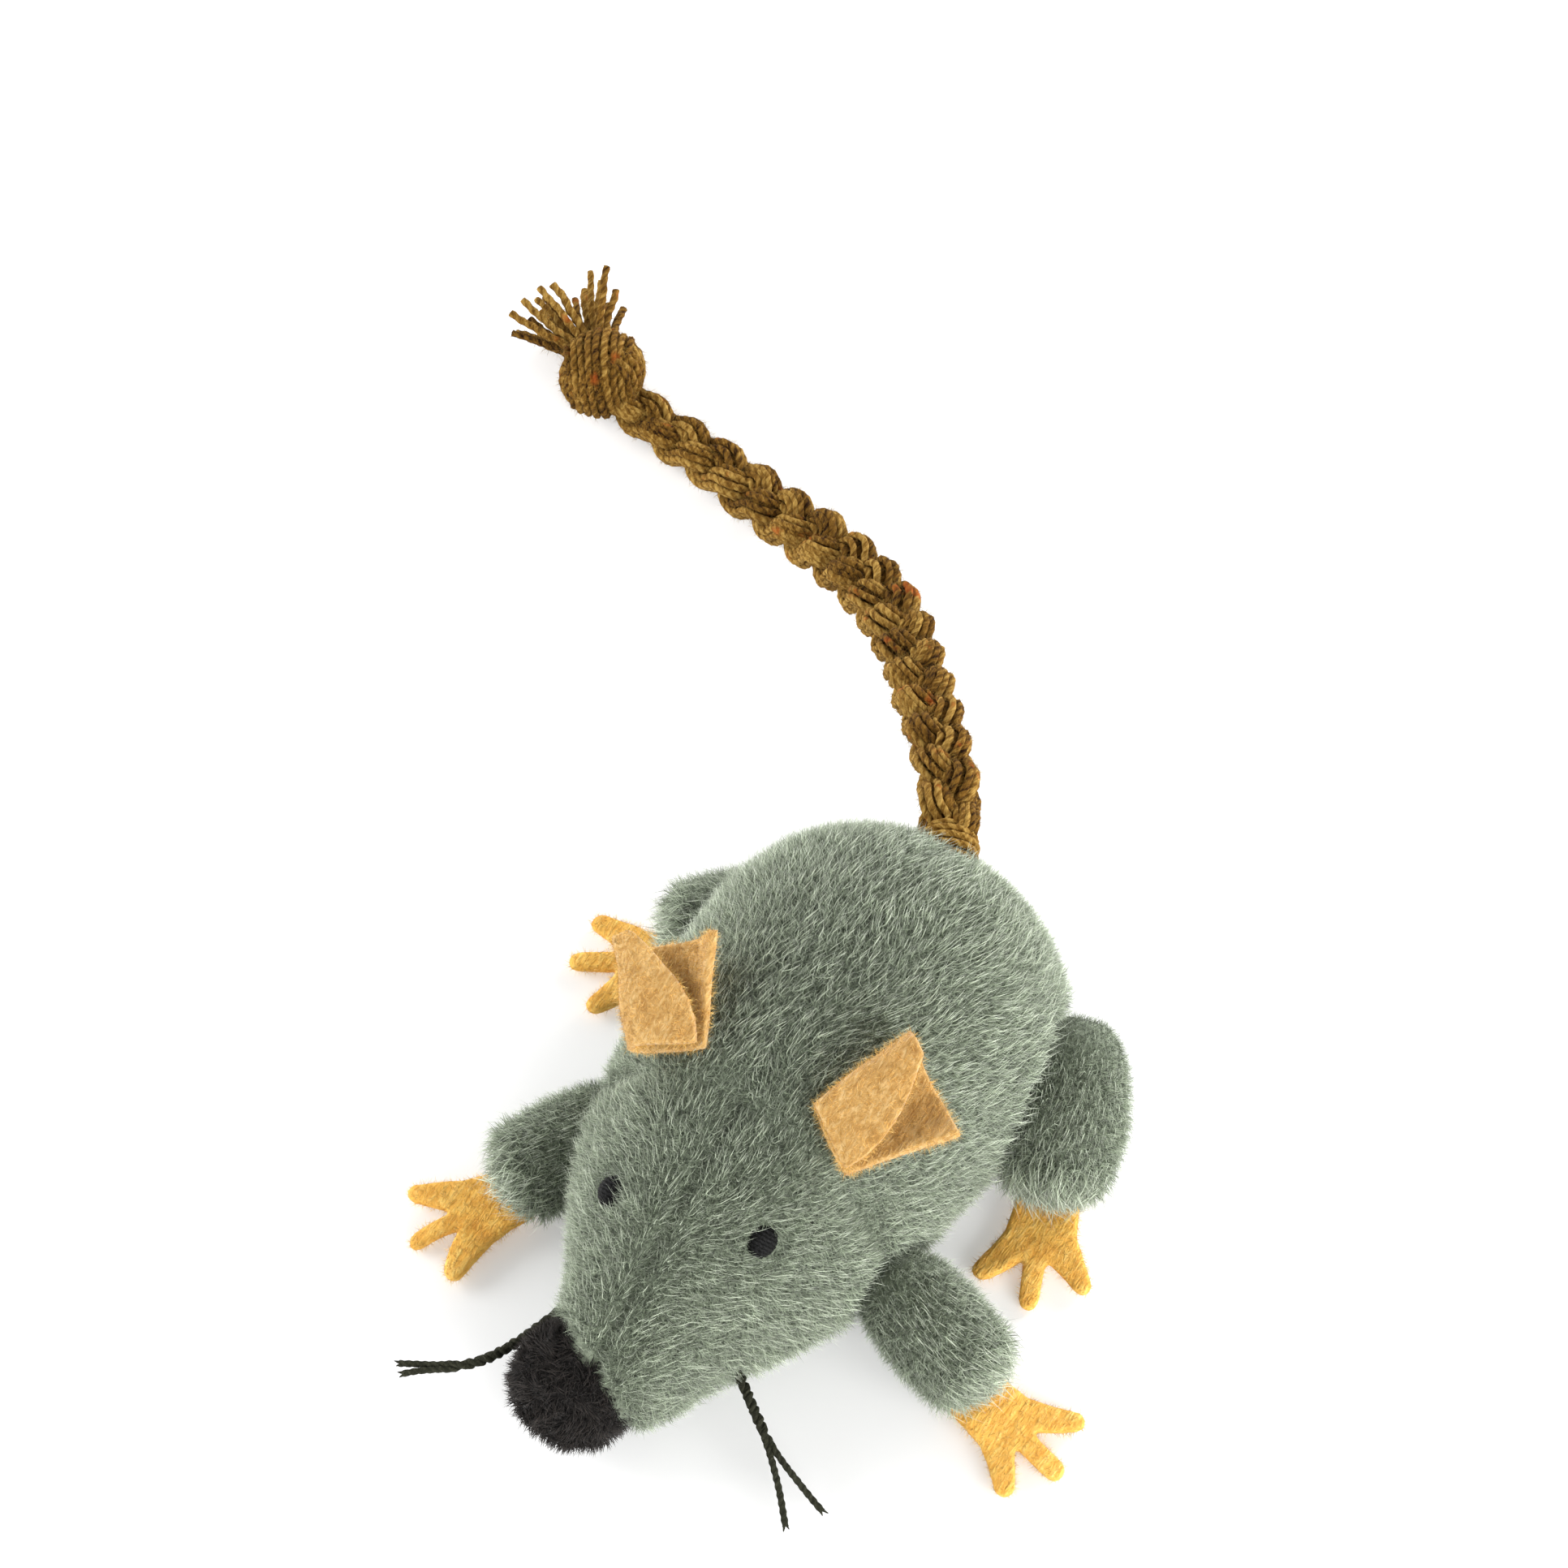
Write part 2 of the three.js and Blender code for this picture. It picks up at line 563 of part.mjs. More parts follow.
// A folded felt ear in its own frame: base on the X axis, tip along +Y, flap above.
function ear(name, [along, out, yaw]) {
  const side = Math.sign(out);
  const rows = [0, 0.2, 0.4, 0.6, 0.8, 1].map((v) => {
    const wide = EAR_BASE + (EAR_TIP - EAR_BASE) * v;
    const radius = EAR_FOLD + (EAR_FOLD_TIP - EAR_FOLD) * v;
    const flap = Math.max(wide * EAR_FLAP * (1 - v ** EAR_BULGE), EAR_FLAP_TIP);
    const flat = [1, 0.75, 0.5, 0.25, 0].map((share) => {
      const beyond = Math.max(0, (share - EAR_CURL_FROM) / (1 - EAR_CURL_FROM));
      return [share * wide, EAR_CURL * v * beyond ** 2];
    });
    const fold = [0.25, 0.5, 0.75].map((share) => (
      [-radius * Math.sin(share * Math.PI), radius * (1 - Math.cos(share * Math.PI))]
    ));
    const over = [0, 0.34, 0.67, 1].map((share) => [share * flap, 2 * radius]);
    return [...flat, ...fold, ...over].map(([x, z]) => (
      new THREE.Vector3(x - wide / 2, v * EAR_LENGTH, z - EAR_FOLD)
    ));
  });
  const mesh = piece(name, sheet(rows, FELT), OCHRE, 0.95);
  const holder = new THREE.Group();
  holder.name = `${name}_seat`;
  holder.position.copy(onBack(along, out))
    .addScaledVector(outwardAt(along, out), EAR_FOLD + FELT / 2 + EAR_CLEAR);
  holder.rotation.set(radians(EAR_LIFT), side * radians(EAR_ROLL), -side * radians(yaw), "ZYX");
  holder.add(mesh);
  return holder;
}

const face = new THREE.Group();
face.name = "face";
face.add(
  nose(),
  ...Object.entries(EYES).map(([name, place]) => eye(name, place)),
  ...Object.entries(EARS).map(([name, place]) => ear(name, place)),
  whisker("whisker_left_front", WHISKERS.left, -1),
  whisker("whisker_left_back", WHISKERS.left, 1),
  whisker("whisker_right_front", WHISKERS.right, 1),
  whisker("whisker_right_back", WHISKERS.right, -1),
);

// Tail
const tailPoints = TAIL_ROUTE.map(([aside, back, up]) => (
  new THREE.Vector3(tailRoot.x + aside, tailRoot.y + back, tailRoot.z * up)
));
const tailCurve = new THREE.CatmullRomCurve3(tailPoints, false, "centripetal");
const tailLength = tailCurve.getLength();

// The path of one strand: it swings from side to side and crosses over and under as it goes.
class PlaitStrand extends THREE.Curve {
  constructor(turn) {
    super();
    this.turn = turn;
  }

  getPoint(t, target = new THREE.Vector3()) {
    const start = TAIL_ROOT + STRAND / 2;
    const along = (start + t * (tailLength - start)) / tailLength;
    const forward = tailCurve.getTangentAt(along);
    const across = forward.clone().cross(new THREE.Vector3(0, 0, 1)).normalize();
    const up = across.clone().cross(forward);
    const angle = (along * tailLength * 2 * Math.PI) / PLAIT_PITCH + this.turn;
    const thick = shareAt(PLAIT_LINE, along);
    return target.copy(tailCurve.getPointAt(along))
      .addScaledVector(across, thick * PLAIT_WIDE * Math.sin(angle))
      .addScaledVector(up, thick * PLAIT_DEEP * Math.sin(2 * angle));
  }
}

function strand(name, turn) {
  const path = new PlaitStrand(turn);
  const { tangents, normals, binormals } = path.computeFrenetFrames(PLAIT_STEPS);
  const rings = tangents.map((_, i) => {
    const radius = (STRAND / 2) * shareAt(PLAIT_LINE, i / PLAIT_STEPS);
    return ring(ROUND_SIDES, (angle) => path.getPointAt(i / PLAIT_STEPS)
      .addScaledVector(normals[i], radius * Math.cos(angle))
      .addScaledVector(binormals[i], radius * Math.sin(angle)));
  });
  return piece(name, skin([[middleOf(rings[0])], ...rings, [middleOf(rings.at(-1))]]), BROWN, 1);
}

// A lump of rope drawn tight, wider than it is long, in the line of the tail.
function knot(at, heading) {
  const geometry = new THREE.SphereGeometry(1, LUMP_SIDES, LUMP_SIDES / 2);
  geometry.scale(KNOT_WIDE / 2, KNOT_LONG / 2, KNOT_HIGH / 2);
  const mesh = piece("tail_knot", surface(solid(geometry)), BROWN, 1);
  mesh.position.copy(at);
  mesh.rotation.z = heading;
  return mesh;
}

// The loose yarn ends: a flat fan from one bound neck, along +Y.
function tassel(at, heading) {
  const neck = solid(new THREE.CylinderGeometry(TASSEL_NECK, TASSEL_NECK, TASSEL_BOUND, ROUND_SIDES));
  const yarns = Array.from({ length: TASSEL_YARNS }, (_, i) => {
    const tip = YARN * (1 - YARN_TAPER);
    const yarn = new THREE.CylinderGeometry(tip / 2, (2 * YARN - tip) / 2, TASSEL_LENGTH, ROUND_SIDES - 2);
    yarn.translate(0, TASSEL_LENGTH / 2, 0);
    yarn.rotateX(radians(TASSEL_TIERS[i % TASSEL_TIERS.length]));
    yarn.rotateZ(radians(TASSEL_FAN * (0.5 - i / (TASSEL_YARNS - 1))));
    return solid(yarn);
  });
  const mesh = piece("tail_tassel", surface(yarns.reduce((all, yarn) => all.add(yarn), neck)), BROWN, 1);
  mesh.position.copy(at);
  mesh.rotation.z = heading;
  return mesh;
}

function tail() {
  const group = new THREE.Group();
  group.name = "tail";
  const bound = new THREE.SphereGeometry(TAIL_ROOT, LUMP_SIDES, LUMP_SIDES / 2);
  const root = piece("tail_bound_end", surface(solid(bound)), BROWN, 1);
  root.position.copy(tailRoot);
  const end = tailCurve.getPointAt(1);
  const forward = tailCurve.getTangentAt(1).setZ(0).normalize();
  const heading = Math.atan2(-forward.x, forward.y);
  const knotAt = end.clone().addScaledVector(forward, KNOT_LONG / 2 + GAP).setZ(KNOT_HIGH / 2 + GAP);
  const turned = heading - radians(TASSEL_TURN);
  const loose = new THREE.Vector3(-Math.sin(turned), Math.cos(turned), 0);
  const tasselAt = knotAt.clone().addScaledVector(loose, (KNOT_WIDE + TASSEL_BOUND) / 2 + GAP);
  group.add(
    root,
    strand("tail_strand_one", 0),
    strand("tail_strand_two", (2 * Math.PI) / 3),
    strand("tail_strand_three", (4 * Math.PI) / 3),
    knot(knotAt, heading),
    tassel(tasselAt, turned),
  );
  return group;
}

const mouse = new THREE.Group();
mouse.name = "catnip_mouse";
mouse.add(panels, inside, face, tail());
mouse.add(...Object.entries(LIMBS).map(([name, made]) => limb(name, made)));

export default mouse;
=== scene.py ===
"""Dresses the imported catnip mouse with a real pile, felt, plaited wool, thread and a pompom."""
import json
import logging
import math
from dataclasses import dataclass, field
from enum import Enum
from typing import Callable, Sequence

import bmesh
import bpy
import numpy as np
from mathutils import Matrix, Vector, noise


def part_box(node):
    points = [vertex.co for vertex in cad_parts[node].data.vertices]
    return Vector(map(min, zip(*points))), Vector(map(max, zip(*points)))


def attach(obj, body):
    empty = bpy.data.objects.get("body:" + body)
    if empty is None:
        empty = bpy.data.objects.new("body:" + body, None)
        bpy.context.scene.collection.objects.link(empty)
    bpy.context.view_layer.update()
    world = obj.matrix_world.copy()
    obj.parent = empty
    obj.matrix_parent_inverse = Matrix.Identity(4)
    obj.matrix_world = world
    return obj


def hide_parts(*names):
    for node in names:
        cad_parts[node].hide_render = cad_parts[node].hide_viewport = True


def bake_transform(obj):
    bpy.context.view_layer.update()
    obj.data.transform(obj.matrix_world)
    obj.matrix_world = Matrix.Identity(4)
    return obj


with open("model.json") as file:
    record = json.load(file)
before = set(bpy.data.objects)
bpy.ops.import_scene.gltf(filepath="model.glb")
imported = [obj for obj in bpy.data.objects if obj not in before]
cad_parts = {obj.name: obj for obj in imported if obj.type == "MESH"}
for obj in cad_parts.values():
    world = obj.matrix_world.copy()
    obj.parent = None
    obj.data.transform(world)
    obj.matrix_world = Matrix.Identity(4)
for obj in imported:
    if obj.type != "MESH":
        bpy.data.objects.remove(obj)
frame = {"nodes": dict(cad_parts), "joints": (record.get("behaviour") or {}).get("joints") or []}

LOG = logging.getLogger("catnip_mouse")
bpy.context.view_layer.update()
MM = 0.001
UV_NAME = "OFBake"
YARN_MAP = "yarn"
Colour = tuple[float, float, float]
NOISE_SEED = 7

# Without a set seed the noise starts from the clock, and no two runs would be alike
noise.seed_set(NOISE_SEED)


# Helpers for meshes
def link(name: str, mesh: bpy.types.Mesh, *materials: bpy.types.Material) -> bpy.types.Object:
    """Puts a mesh into the scene.

    Args:
        name: The piece's name.
        mesh: Its mesh, in metres and in place.
        materials: Its finishes, in slot order.

    Returns:
        The new object.
    """
    obj = bpy.data.objects.new(name, mesh)
    bpy.context.scene.collection.objects.link(obj)
    for material in materials:
        mesh.materials.append(material)
    return obj


def mesh_of(name: str, points: np.ndarray, faces: Sequence[Sequence[int]]) -> bpy.types.Mesh:
    """Makes a smooth mesh with its faces turned outwards.

    Args:
        name: The mesh's name.
        points: Its points, one row each.
        faces: Its faces, as rows of point numbers.

    Returns:
        The new mesh.
    """
    mesh = bpy.data.meshes.new(name)
    mesh.from_pydata([tuple(p) for p in points], [], [tuple(f) for f in faces])
    shape = bmesh.new()
    shape.from_mesh(mesh)
    bmesh.ops.recalc_face_normals(shape, faces=shape.faces)
    shape.to_mesh(mesh)
    shape.free()
    mesh.polygons.foreach_set("use_smooth", [True] * len(mesh.polygons))
    mesh.update()
    return mesh


def points_of(mesh: bpy.types.Mesh) -> np.ndarray:
    """Reads a mesh's points.

    Args:
        mesh: The mesh.

    Returns:
        One row per point.
    """
    flat = np.empty(len(mesh.vertices) * 3, dtype=np.float32)
    mesh.vertices.foreach_get("co", flat)
    return flat.reshape(-1, 3).astype(float)


def normals_of(mesh: bpy.types.Mesh) -> np.ndarray:
    """Reads a mesh's point normals.

    Args:
        mesh: The mesh.

    Returns:
        One row per point.
    """
    flat = np.empty(len(mesh.vertices) * 3, dtype=np.float32)
    mesh.vertex_normals.foreach_get("vector", flat)
    return flat.reshape(-1, 3).astype(float)


def move_points(mesh: bpy.types.Mesh, points: np.ndarray) -> None:
    """Gives a mesh new places for its points."""
    mesh.vertices.foreach_set("co", points.astype(np.float32).ravel())
    mesh.update()


def unit(rows: np.ndarray) -> np.ndarray:
    """Returns rows of vectors at length 1."""
    return rows / np.maximum(np.linalg.norm(rows, axis=-1, keepdims=True), 1e-9)


def store(mesh: bpy.types.Mesh, name: str, values: np.ndarray) -> None:
    """Stores one value or vector per point under a name.

    Args:
        mesh: The mesh.
        name: The attribute's name.
        values: One number, or one row of three, per point.
    """
    wide = values.ndim > 1
    made = mesh.attributes.new(name, "FLOAT_VECTOR" if wide else "FLOAT", "POINT")
    made.data.foreach_set("vector" if wide else "value", values.astype(np.float32).ravel())


def evaluated(obj: bpy.types.Object) -> bpy.types.Mesh:
    """Applies an object's modifiers.

    Args:
        obj: The object.

    Returns:
        A plain mesh of the result.
    """
    graph = bpy.context.evaluated_depsgraph_get()
    graph.update()
    return bpy.data.meshes.new_from_object(obj.evaluated_get(graph), depsgraph=graph)


def loop_faces(rings: int, sides: int, start: int = 0) -> list[tuple[int, ...]]:
    """Lists the faces between rings of equally many points.

    Args:
        rings: How many rings there are.
        sides: How many points each ring has.
        start: The number of the first point.

    Returns:
        The faces, as rows of point numbers.
    """
    made = []
    for i in range(rings - 1):
        for k in range(sides):
            a = start + i * sides + k
            b = start + i * sides + (k + 1) % sides
            made.append((a, b, b + sides, a + sides))
    return made


def capped_faces(rings: int, sides: int) -> list[tuple[int, ...]]:
    """Lists the faces of a tube of rings that two last points close, one at each end.

    Args:
        rings: How many rings there are.
        sides: How many points each ring has.

    Returns:
        The faces, as rows of point numbers.
    """
    first, last = rings * sides, rings * sides + 1
    base = first - sides
    made = loop_faces(rings, sides)
    made += [((k + 1) % sides, k, first) for k in range(sides)]
    made += [(base + k, base + (k + 1) % sides, last) for k in range(sides)]
    return made


def middle_of(node: str) -> np.ndarray:
    """Returns the middle of a node's box."""
    low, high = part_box(node)
    return (np.array(low) + np.array(high)) / 2


def near(distance: np.ndarray, reach: float) -> np.ndarray:
    """Returns a soft share that is 1 at no distance and falls off over a reach."""
    return np.exp(-((distance / reach) ** 2))


def lying(comb: np.ndarray, normal: np.ndarray) -> np.ndarray:
    """Returns directions laid flat on a surface, at length 1."""
    return unit(comb - normal * (comb * normal).sum(1, keepdims=True))


def along_path(path: np.ndarray) -> np.ndarray:
    """Returns how far along a path each of its points is."""
    return np.concatenate([[0], np.cumsum(np.linalg.norm(np.diff(path, axis=0), axis=1))])


def wobble(points: np.ndarray, size: float, seed: float) -> np.ndarray:
    """Returns smooth random vectors, about -1 to 1.

    Args:
        points: Where to read them.
        size: The distance over which they change.
        seed: Shifts the pattern.

    Returns:
        One vector per point.
    """
    shift = Vector((seed, seed * 1.7, -seed))
    return np.array([noise.noise_vector(Vector(p) / size + shift) for p in points])


def follow(points: Sequence[tuple[float, float]], at: np.ndarray) -> np.ndarray:
    """Reads a smooth line through points.

    Args:
        points: Places along and the values there, in order.
        at: The places to read.

    Returns:
        The values there.
    """
    x = np.array([p[0] for p in points])
    y = np.array([p[1] for p in points])
    slope = np.gradient(y, x)
    i = np.clip(np.searchsorted(x, at) - 1, 0, len(x) - 2)
    wide = x[i + 1] - x[i]
    t = np.clip((at - x[i]) / wide, 0, 1)
    low = y[i] * (1 + 2 * t) + slope[i] * wide * t
    high = y[i + 1] * (3 - 2 * t) - slope[i + 1] * wide * (1 - t)
    return low * (1 - t) ** 2 + high * t**2


def smooth_path(points: Sequence[Sequence[float]], step: float) -> np.ndarray:
    """Runs a smooth path through points, with its own points evenly apart.

    Args:
        points: The points it passes through.
        step: About how far apart its points are.

    Returns:
        The path, one row per point.
    """
    p = np.array(points, dtype=float)
    p = np.vstack([2 * p[0] - p[1], p, 2 * p[-1] - p[-2]])
    knots = np.concatenate([[0], np.cumsum(np.linalg.norm(np.diff(p, axis=0), axis=1) ** 0.5)])
    fine = []
    for i in range(1, len(p) - 2):
        t = np.linspace(knots[i], knots[i + 1], 40, endpoint=i == len(p) - 3)[:, None]

        def mix(a: np.ndarray, b: np.ndarray, low: float, high: float) -> np.ndarray:
            """Returns the straight blend of a and b over low to high."""
            return ((high - t) * a + (t - low) * b) / (high - low)

        k = knots[i - 1:i + 3]
        a = [mix(p[i - 1 + j], p[i + j], k[j], k[j + 1]) for j in range(3)]
        b = [mix(a[j], a[j + 1], k[j], k[j + 2]) for j in range(2)]
        fine.append(mix(b[0], b[1], k[1], k[2]))
    fine = np.vstack(fine)
    far = along_path(fine)
    even = np.linspace(0, far[-1], max(4, int(far[-1] / step)))
    return np.stack([np.interp(even, far, fine[:, axis]) for axis in range(3)], axis=1)


def path_frames(path: np.ndarray, up: Sequence[float]) -> tuple[np.ndarray, np.ndarray, np.ndarray]:
    """Carries a frame along a path without letting it spin.

    Args:
        path: The path's points.
        up: A direction that the frame's second side starts near.

    Returns:
        The forward, side and upward directions at each point.
    """
    forward = unit(np.gradient(path, axis=0))
    side = np.empty_like(forward)
    side[0] = unit(np.cross(forward[0], np.array(up, dtype=float)))
    for i in range(1, len(path)):
        side[i] = unit(side[i - 1] - forward[i] * (side[i - 1] @ forward[i]))
    return forward, side, np.cross(side, forward)


@dataclass
class Tubes:
    """Gathers yarns and threads into one mesh."""

    sides: int = 8
    points: list[np.ndarray] = field(default_factory=list)
    faces: list[tuple[int, ...]] = field(default_factory=list)
    tones: list[np.ndarray] = field(default_factory=list)
    maps: list[np.ndarray] = field(default_factory=list)
    count: int = 0

    def add(self, path: np.ndarray, radius: float, twist: float, tone: float, taper: float = 0.0) -> None:
        """Adds one two-ply yarn.

        Args:
            path: The points along its middle.
            radius: Its radius.
            twist: The length of one turn of its plies.
            tone: Its shade, from 0 to 1.
            taper: The share of its radius that it loses towards its end.
        """
        _, side, up = path_frames(path, (0.13, 0.21, 1))
        far = along_path(path)
        angle = np.arange(self.sides) * 2 * math.pi / self.sides
        turns = (far / twist)[:, None]
        wide = radius * (1 - taper * (far / far[-1]) ** 2)
        reach = wide[:, None] * (0.94 + 0.12 * np.cos(2 * angle[None, :] + 4 * math.pi * turns))
        ring = (path[:, None, :] + side[:, None, :] * (reach * np.cos(angle))[..., None]
                + up[:, None, :] * (reach * np.sin(angle))[..., None])
        rows = len(path)
        self.points.append(np.vstack([ring.reshape(-1, 3), path[:1], path[-1:]]))
        self.faces += loop_faces(rows, self.sides, self.count)
        first, last = self.count + rows * self.sides, self.count + rows * self.sides + 1
        for k in range(self.sides):
            after = (k + 1) % self.sides
            self.faces.append((self.count + after, self.count + k, first))
            base = self.count + (rows - 1) * self.sides
            self.faces.append((base + k, base + after, last))
        self.tones.append(np.full(rows * self.sides + 2, tone))
        placed = np.stack(np.broadcast_arrays(angle[None, :] / (2 * math.pi), turns), axis=-1).reshape(-1, 2)
        self.maps.append(np.vstack([placed, placed[:1], placed[-1:]]))
        self.count += rows * self.sides + 2

    def mesh(self, name: str) -> bpy.types.Mesh:
        """Joins the yarns, with their tones and a map round and along each yarn.

        Args:
            name: The new mesh's name.

        Returns:
            The mesh.
        """
        made = mesh_of(name, np.vstack(self.points), self.faces)
        store(made, "tone", np.concatenate(self.tones))
        corners = np.empty(len(made.loops), dtype=np.int32)
        made.loops.foreach_get("vertex_index", corners)
        sizes = np.empty(len(made.polygons), dtype=np.int32)
        made.polygons.foreach_get("loop_total", sizes)
        placed = np.vstack(self.maps)[corners]
        face = np.repeat(np.arange(len(sizes)), sizes)
        furthest = np.zeros(len(sizes))
        np.maximum.at(furthest, face, placed[:, 0])
        placed[:, 0] += (furthest[face] > 0.8) & (placed[:, 0] < 0.2)
        made.uv_layers.new(name=YARN_MAP).data.foreach_set("uv", placed.astype(np.float32).ravel())
        return made


# Finishes
def add_node(tree: bpy.types.NodeTree, kind: str, **values: object) -> bpy.types.Node:
    """Adds a node and sets its own properties.

    Args:
        tree: The node tree.
        kind: The node's type.
        values: Its properties.

    Returns:
        The new node.
    """
    made = tree.nodes.new(kind)
    for key, value in values.items():
        setattr(made, key, value)
    return made


def socket(sockets: bpy.types.bpy_prop_collection, name: str) -> bpy.types.NodeSocket:
    """Returns the socket in use that has a name."""
    return next(s for s in sockets if s.name == name and s.enabled)


def ramp(tree: bpy.types.NodeTree, stops: Sequence[tuple[float, Colour]]) -> bpy.types.Node:
    """Adds a colour ramp.

    Args:
        tree: The node tree.
        stops: Places from 0 to 1 and the colours there.

    Returns:
        The ramp node.
    """
    made = tree.nodes.new("ShaderNodeValToRGB")
    steps = made.color_ramp.elements
    while len(steps) < len(stops):
        steps.new(0.5)
    for step, (place, colour) in zip(steps, stops):
        step.position = place
        step.color = (*colour, 1)
    return made


def new_material(name: str) -> tuple[bpy.types.Material, bpy.types.NodeTree, bpy.types.Node]:
    """Makes a node material.

    Args:
        name: Its name.

    Returns:
        The material, its tree and its Principled node.
    """
    material = bpy.data.materials.new(name)
    material.use_nodes = True
    tree = material.node_tree
    return material, tree, tree.nodes["Principled BSDF"]


def fibre_group() -> bpy.types.NodeTree:
    """Makes the shared group that mats short fibres over a cloth, once.

    Returns:
        The group's tree.
    """
    known = bpy.data.node_groups.get("matted_fibres")
    if known:
        return known
    tree = bpy.data.node_groups.new("matted_fibres", "ShaderNodeTree")
    for name, start in (("Fibre Size", 0.0006), ("Cloud Size", 0.004)):
        made = tree.interface.new_socket(name, in_out="INPUT", socket_type="NodeSocketFloat")
        made.default_value = start
    for name in ("Fibres", "Clouds"):
        tree.interface.new_socket(name, in_out="OUTPUT", socket_type="NodeSocketFloat")
    inside = tree.nodes.new("NodeGroupInput")
    outside = tree.nodes.new("NodeGroupOutput")
    place = tree.nodes.new("ShaderNodeTexCoord")
    layers = []
    for turn in (0.4, 1.5, 2.6):
        mapping = add_node(tree, "ShaderNodeMapping")
        mapping.inputs["Rotation"].default_value = (turn, turn * 0.7, turn * 1.3)
        mapping.inputs["Scale"].default_value = (1, 0.22, 1)
        tree.links.new(place.outputs["Object"], mapping.inputs["Vector"])
        size = add_node(tree, "ShaderNodeMath", operation="DIVIDE")
        size.inputs[0].default_value = 1
        tree.links.new(inside.outputs["Fibre Size"], size.inputs[1])
        fibres = tree.nodes.new("ShaderNodeTexNoise")
        fibres.inputs["Detail"].default_value = 3
        fibres.inputs["Distortion"].default_value = 0.6
        tree.links.new(mapping.outputs["Vector"], fibres.inputs["Vector"])
        tree.links.new(size.outputs[0], fibres.inputs["Scale"])
        layers.append(fibres.outputs["Fac"])
    first = add_node(tree, "ShaderNodeMath", operation="MAXIMUM")
    tree.links.new(layers[0], first.inputs[0])
    tree.links.new(layers[1], first.inputs[1])
    both = add_node(tree, "ShaderNodeMath", operation="MAXIMUM")
    tree.links.new(first.outputs[0], both.inputs[0])
    tree.links.new(layers[2], both.inputs[1])
    spread = tree.nodes.new("ShaderNodeMapRange")
    spread.inputs["From Min"].default_value = 0.45
    spread.inputs["From Max"].default_value = 0.78
    tree.links.new(both.outputs[0], spread.inputs["Value"])
    tree.links.new(spread.outputs["Result"], outside.inputs["Fibres"])
    size = add_node(tree, "ShaderNodeMath", operation="DIVIDE")
    size.inputs[0].default_value = 1
    tree.links.new(inside.outputs["Cloud Size"], size.inputs[1])
    clouds = tree.nodes.new("ShaderNodeTexNoise")
    clouds.inputs["Detail"].default_value = 4
    tree.links.new(place.outputs["Object"], clouds.inputs["Vector"])
    tree.links.new(size.outputs[0], clouds.inputs["Scale"])
    tree.links.new(clouds.outputs["Fac"], outside.inputs["Clouds"])
    return tree


@dataclass(frozen=True)
class ClothFinish:
    """Felt, fleece or another matted cloth."""

    name: str
    dark: Colour
    middle: Colour
    light: Colour
    fibre: float = 0.0006
    cloud: float = 0.004
    relief: float = 0.0002
    roughness: float = 0.95
    sheen: float = 0.25

    def material(self) -> bpy.types.Material:
        """Makes the finish, once.

        Returns:
            The node material.
        """
        known = bpy.data.materials.get(self.name)
        if known:
            return known
        material, tree, shader = new_material(self.name)
        matted = add_node(tree, "ShaderNodeGroup", node_tree=fibre_group())
        matted.inputs["Fibre Size"].default_value = self.fibre
        matted.inputs["Cloud Size"].default_value = self.cloud
        blend = add_node(tree, "ShaderNodeMix", data_type="FLOAT")
        blend.inputs[0].default_value = 0.5
        tree.links.new(matted.outputs["Fibres"], blend.inputs[2])
        tree.links.new(matted.outputs["Clouds"], blend.inputs[3])
        colours = ramp(tree, [(0.12, self.dark), (0.45, self.middle), (0.85, self.light)])
        tree.links.new(blend.outputs[0], colours.inputs["Fac"])
        tree.links.new(colours.outputs["Color"], shader.inputs["Base Color"])
        bump = tree.nodes.new("ShaderNodeBump")
        bump.inputs["Distance"].default_value = self.relief
        bump.inputs["Strength"].default_value = 0.8
        tree.links.new(matted.outputs["Fibres"], bump.inputs["Height"])
        tree.links.new(bump.outputs["Normal"], shader.inputs["Normal"])
        shader.inputs["Roughness"].default_value = self.roughness
        shader.inputs["Sheen Weight"].default_value = self.sheen
        shader.inputs["Specular IOR Level"].default_value = 0.2
        return material


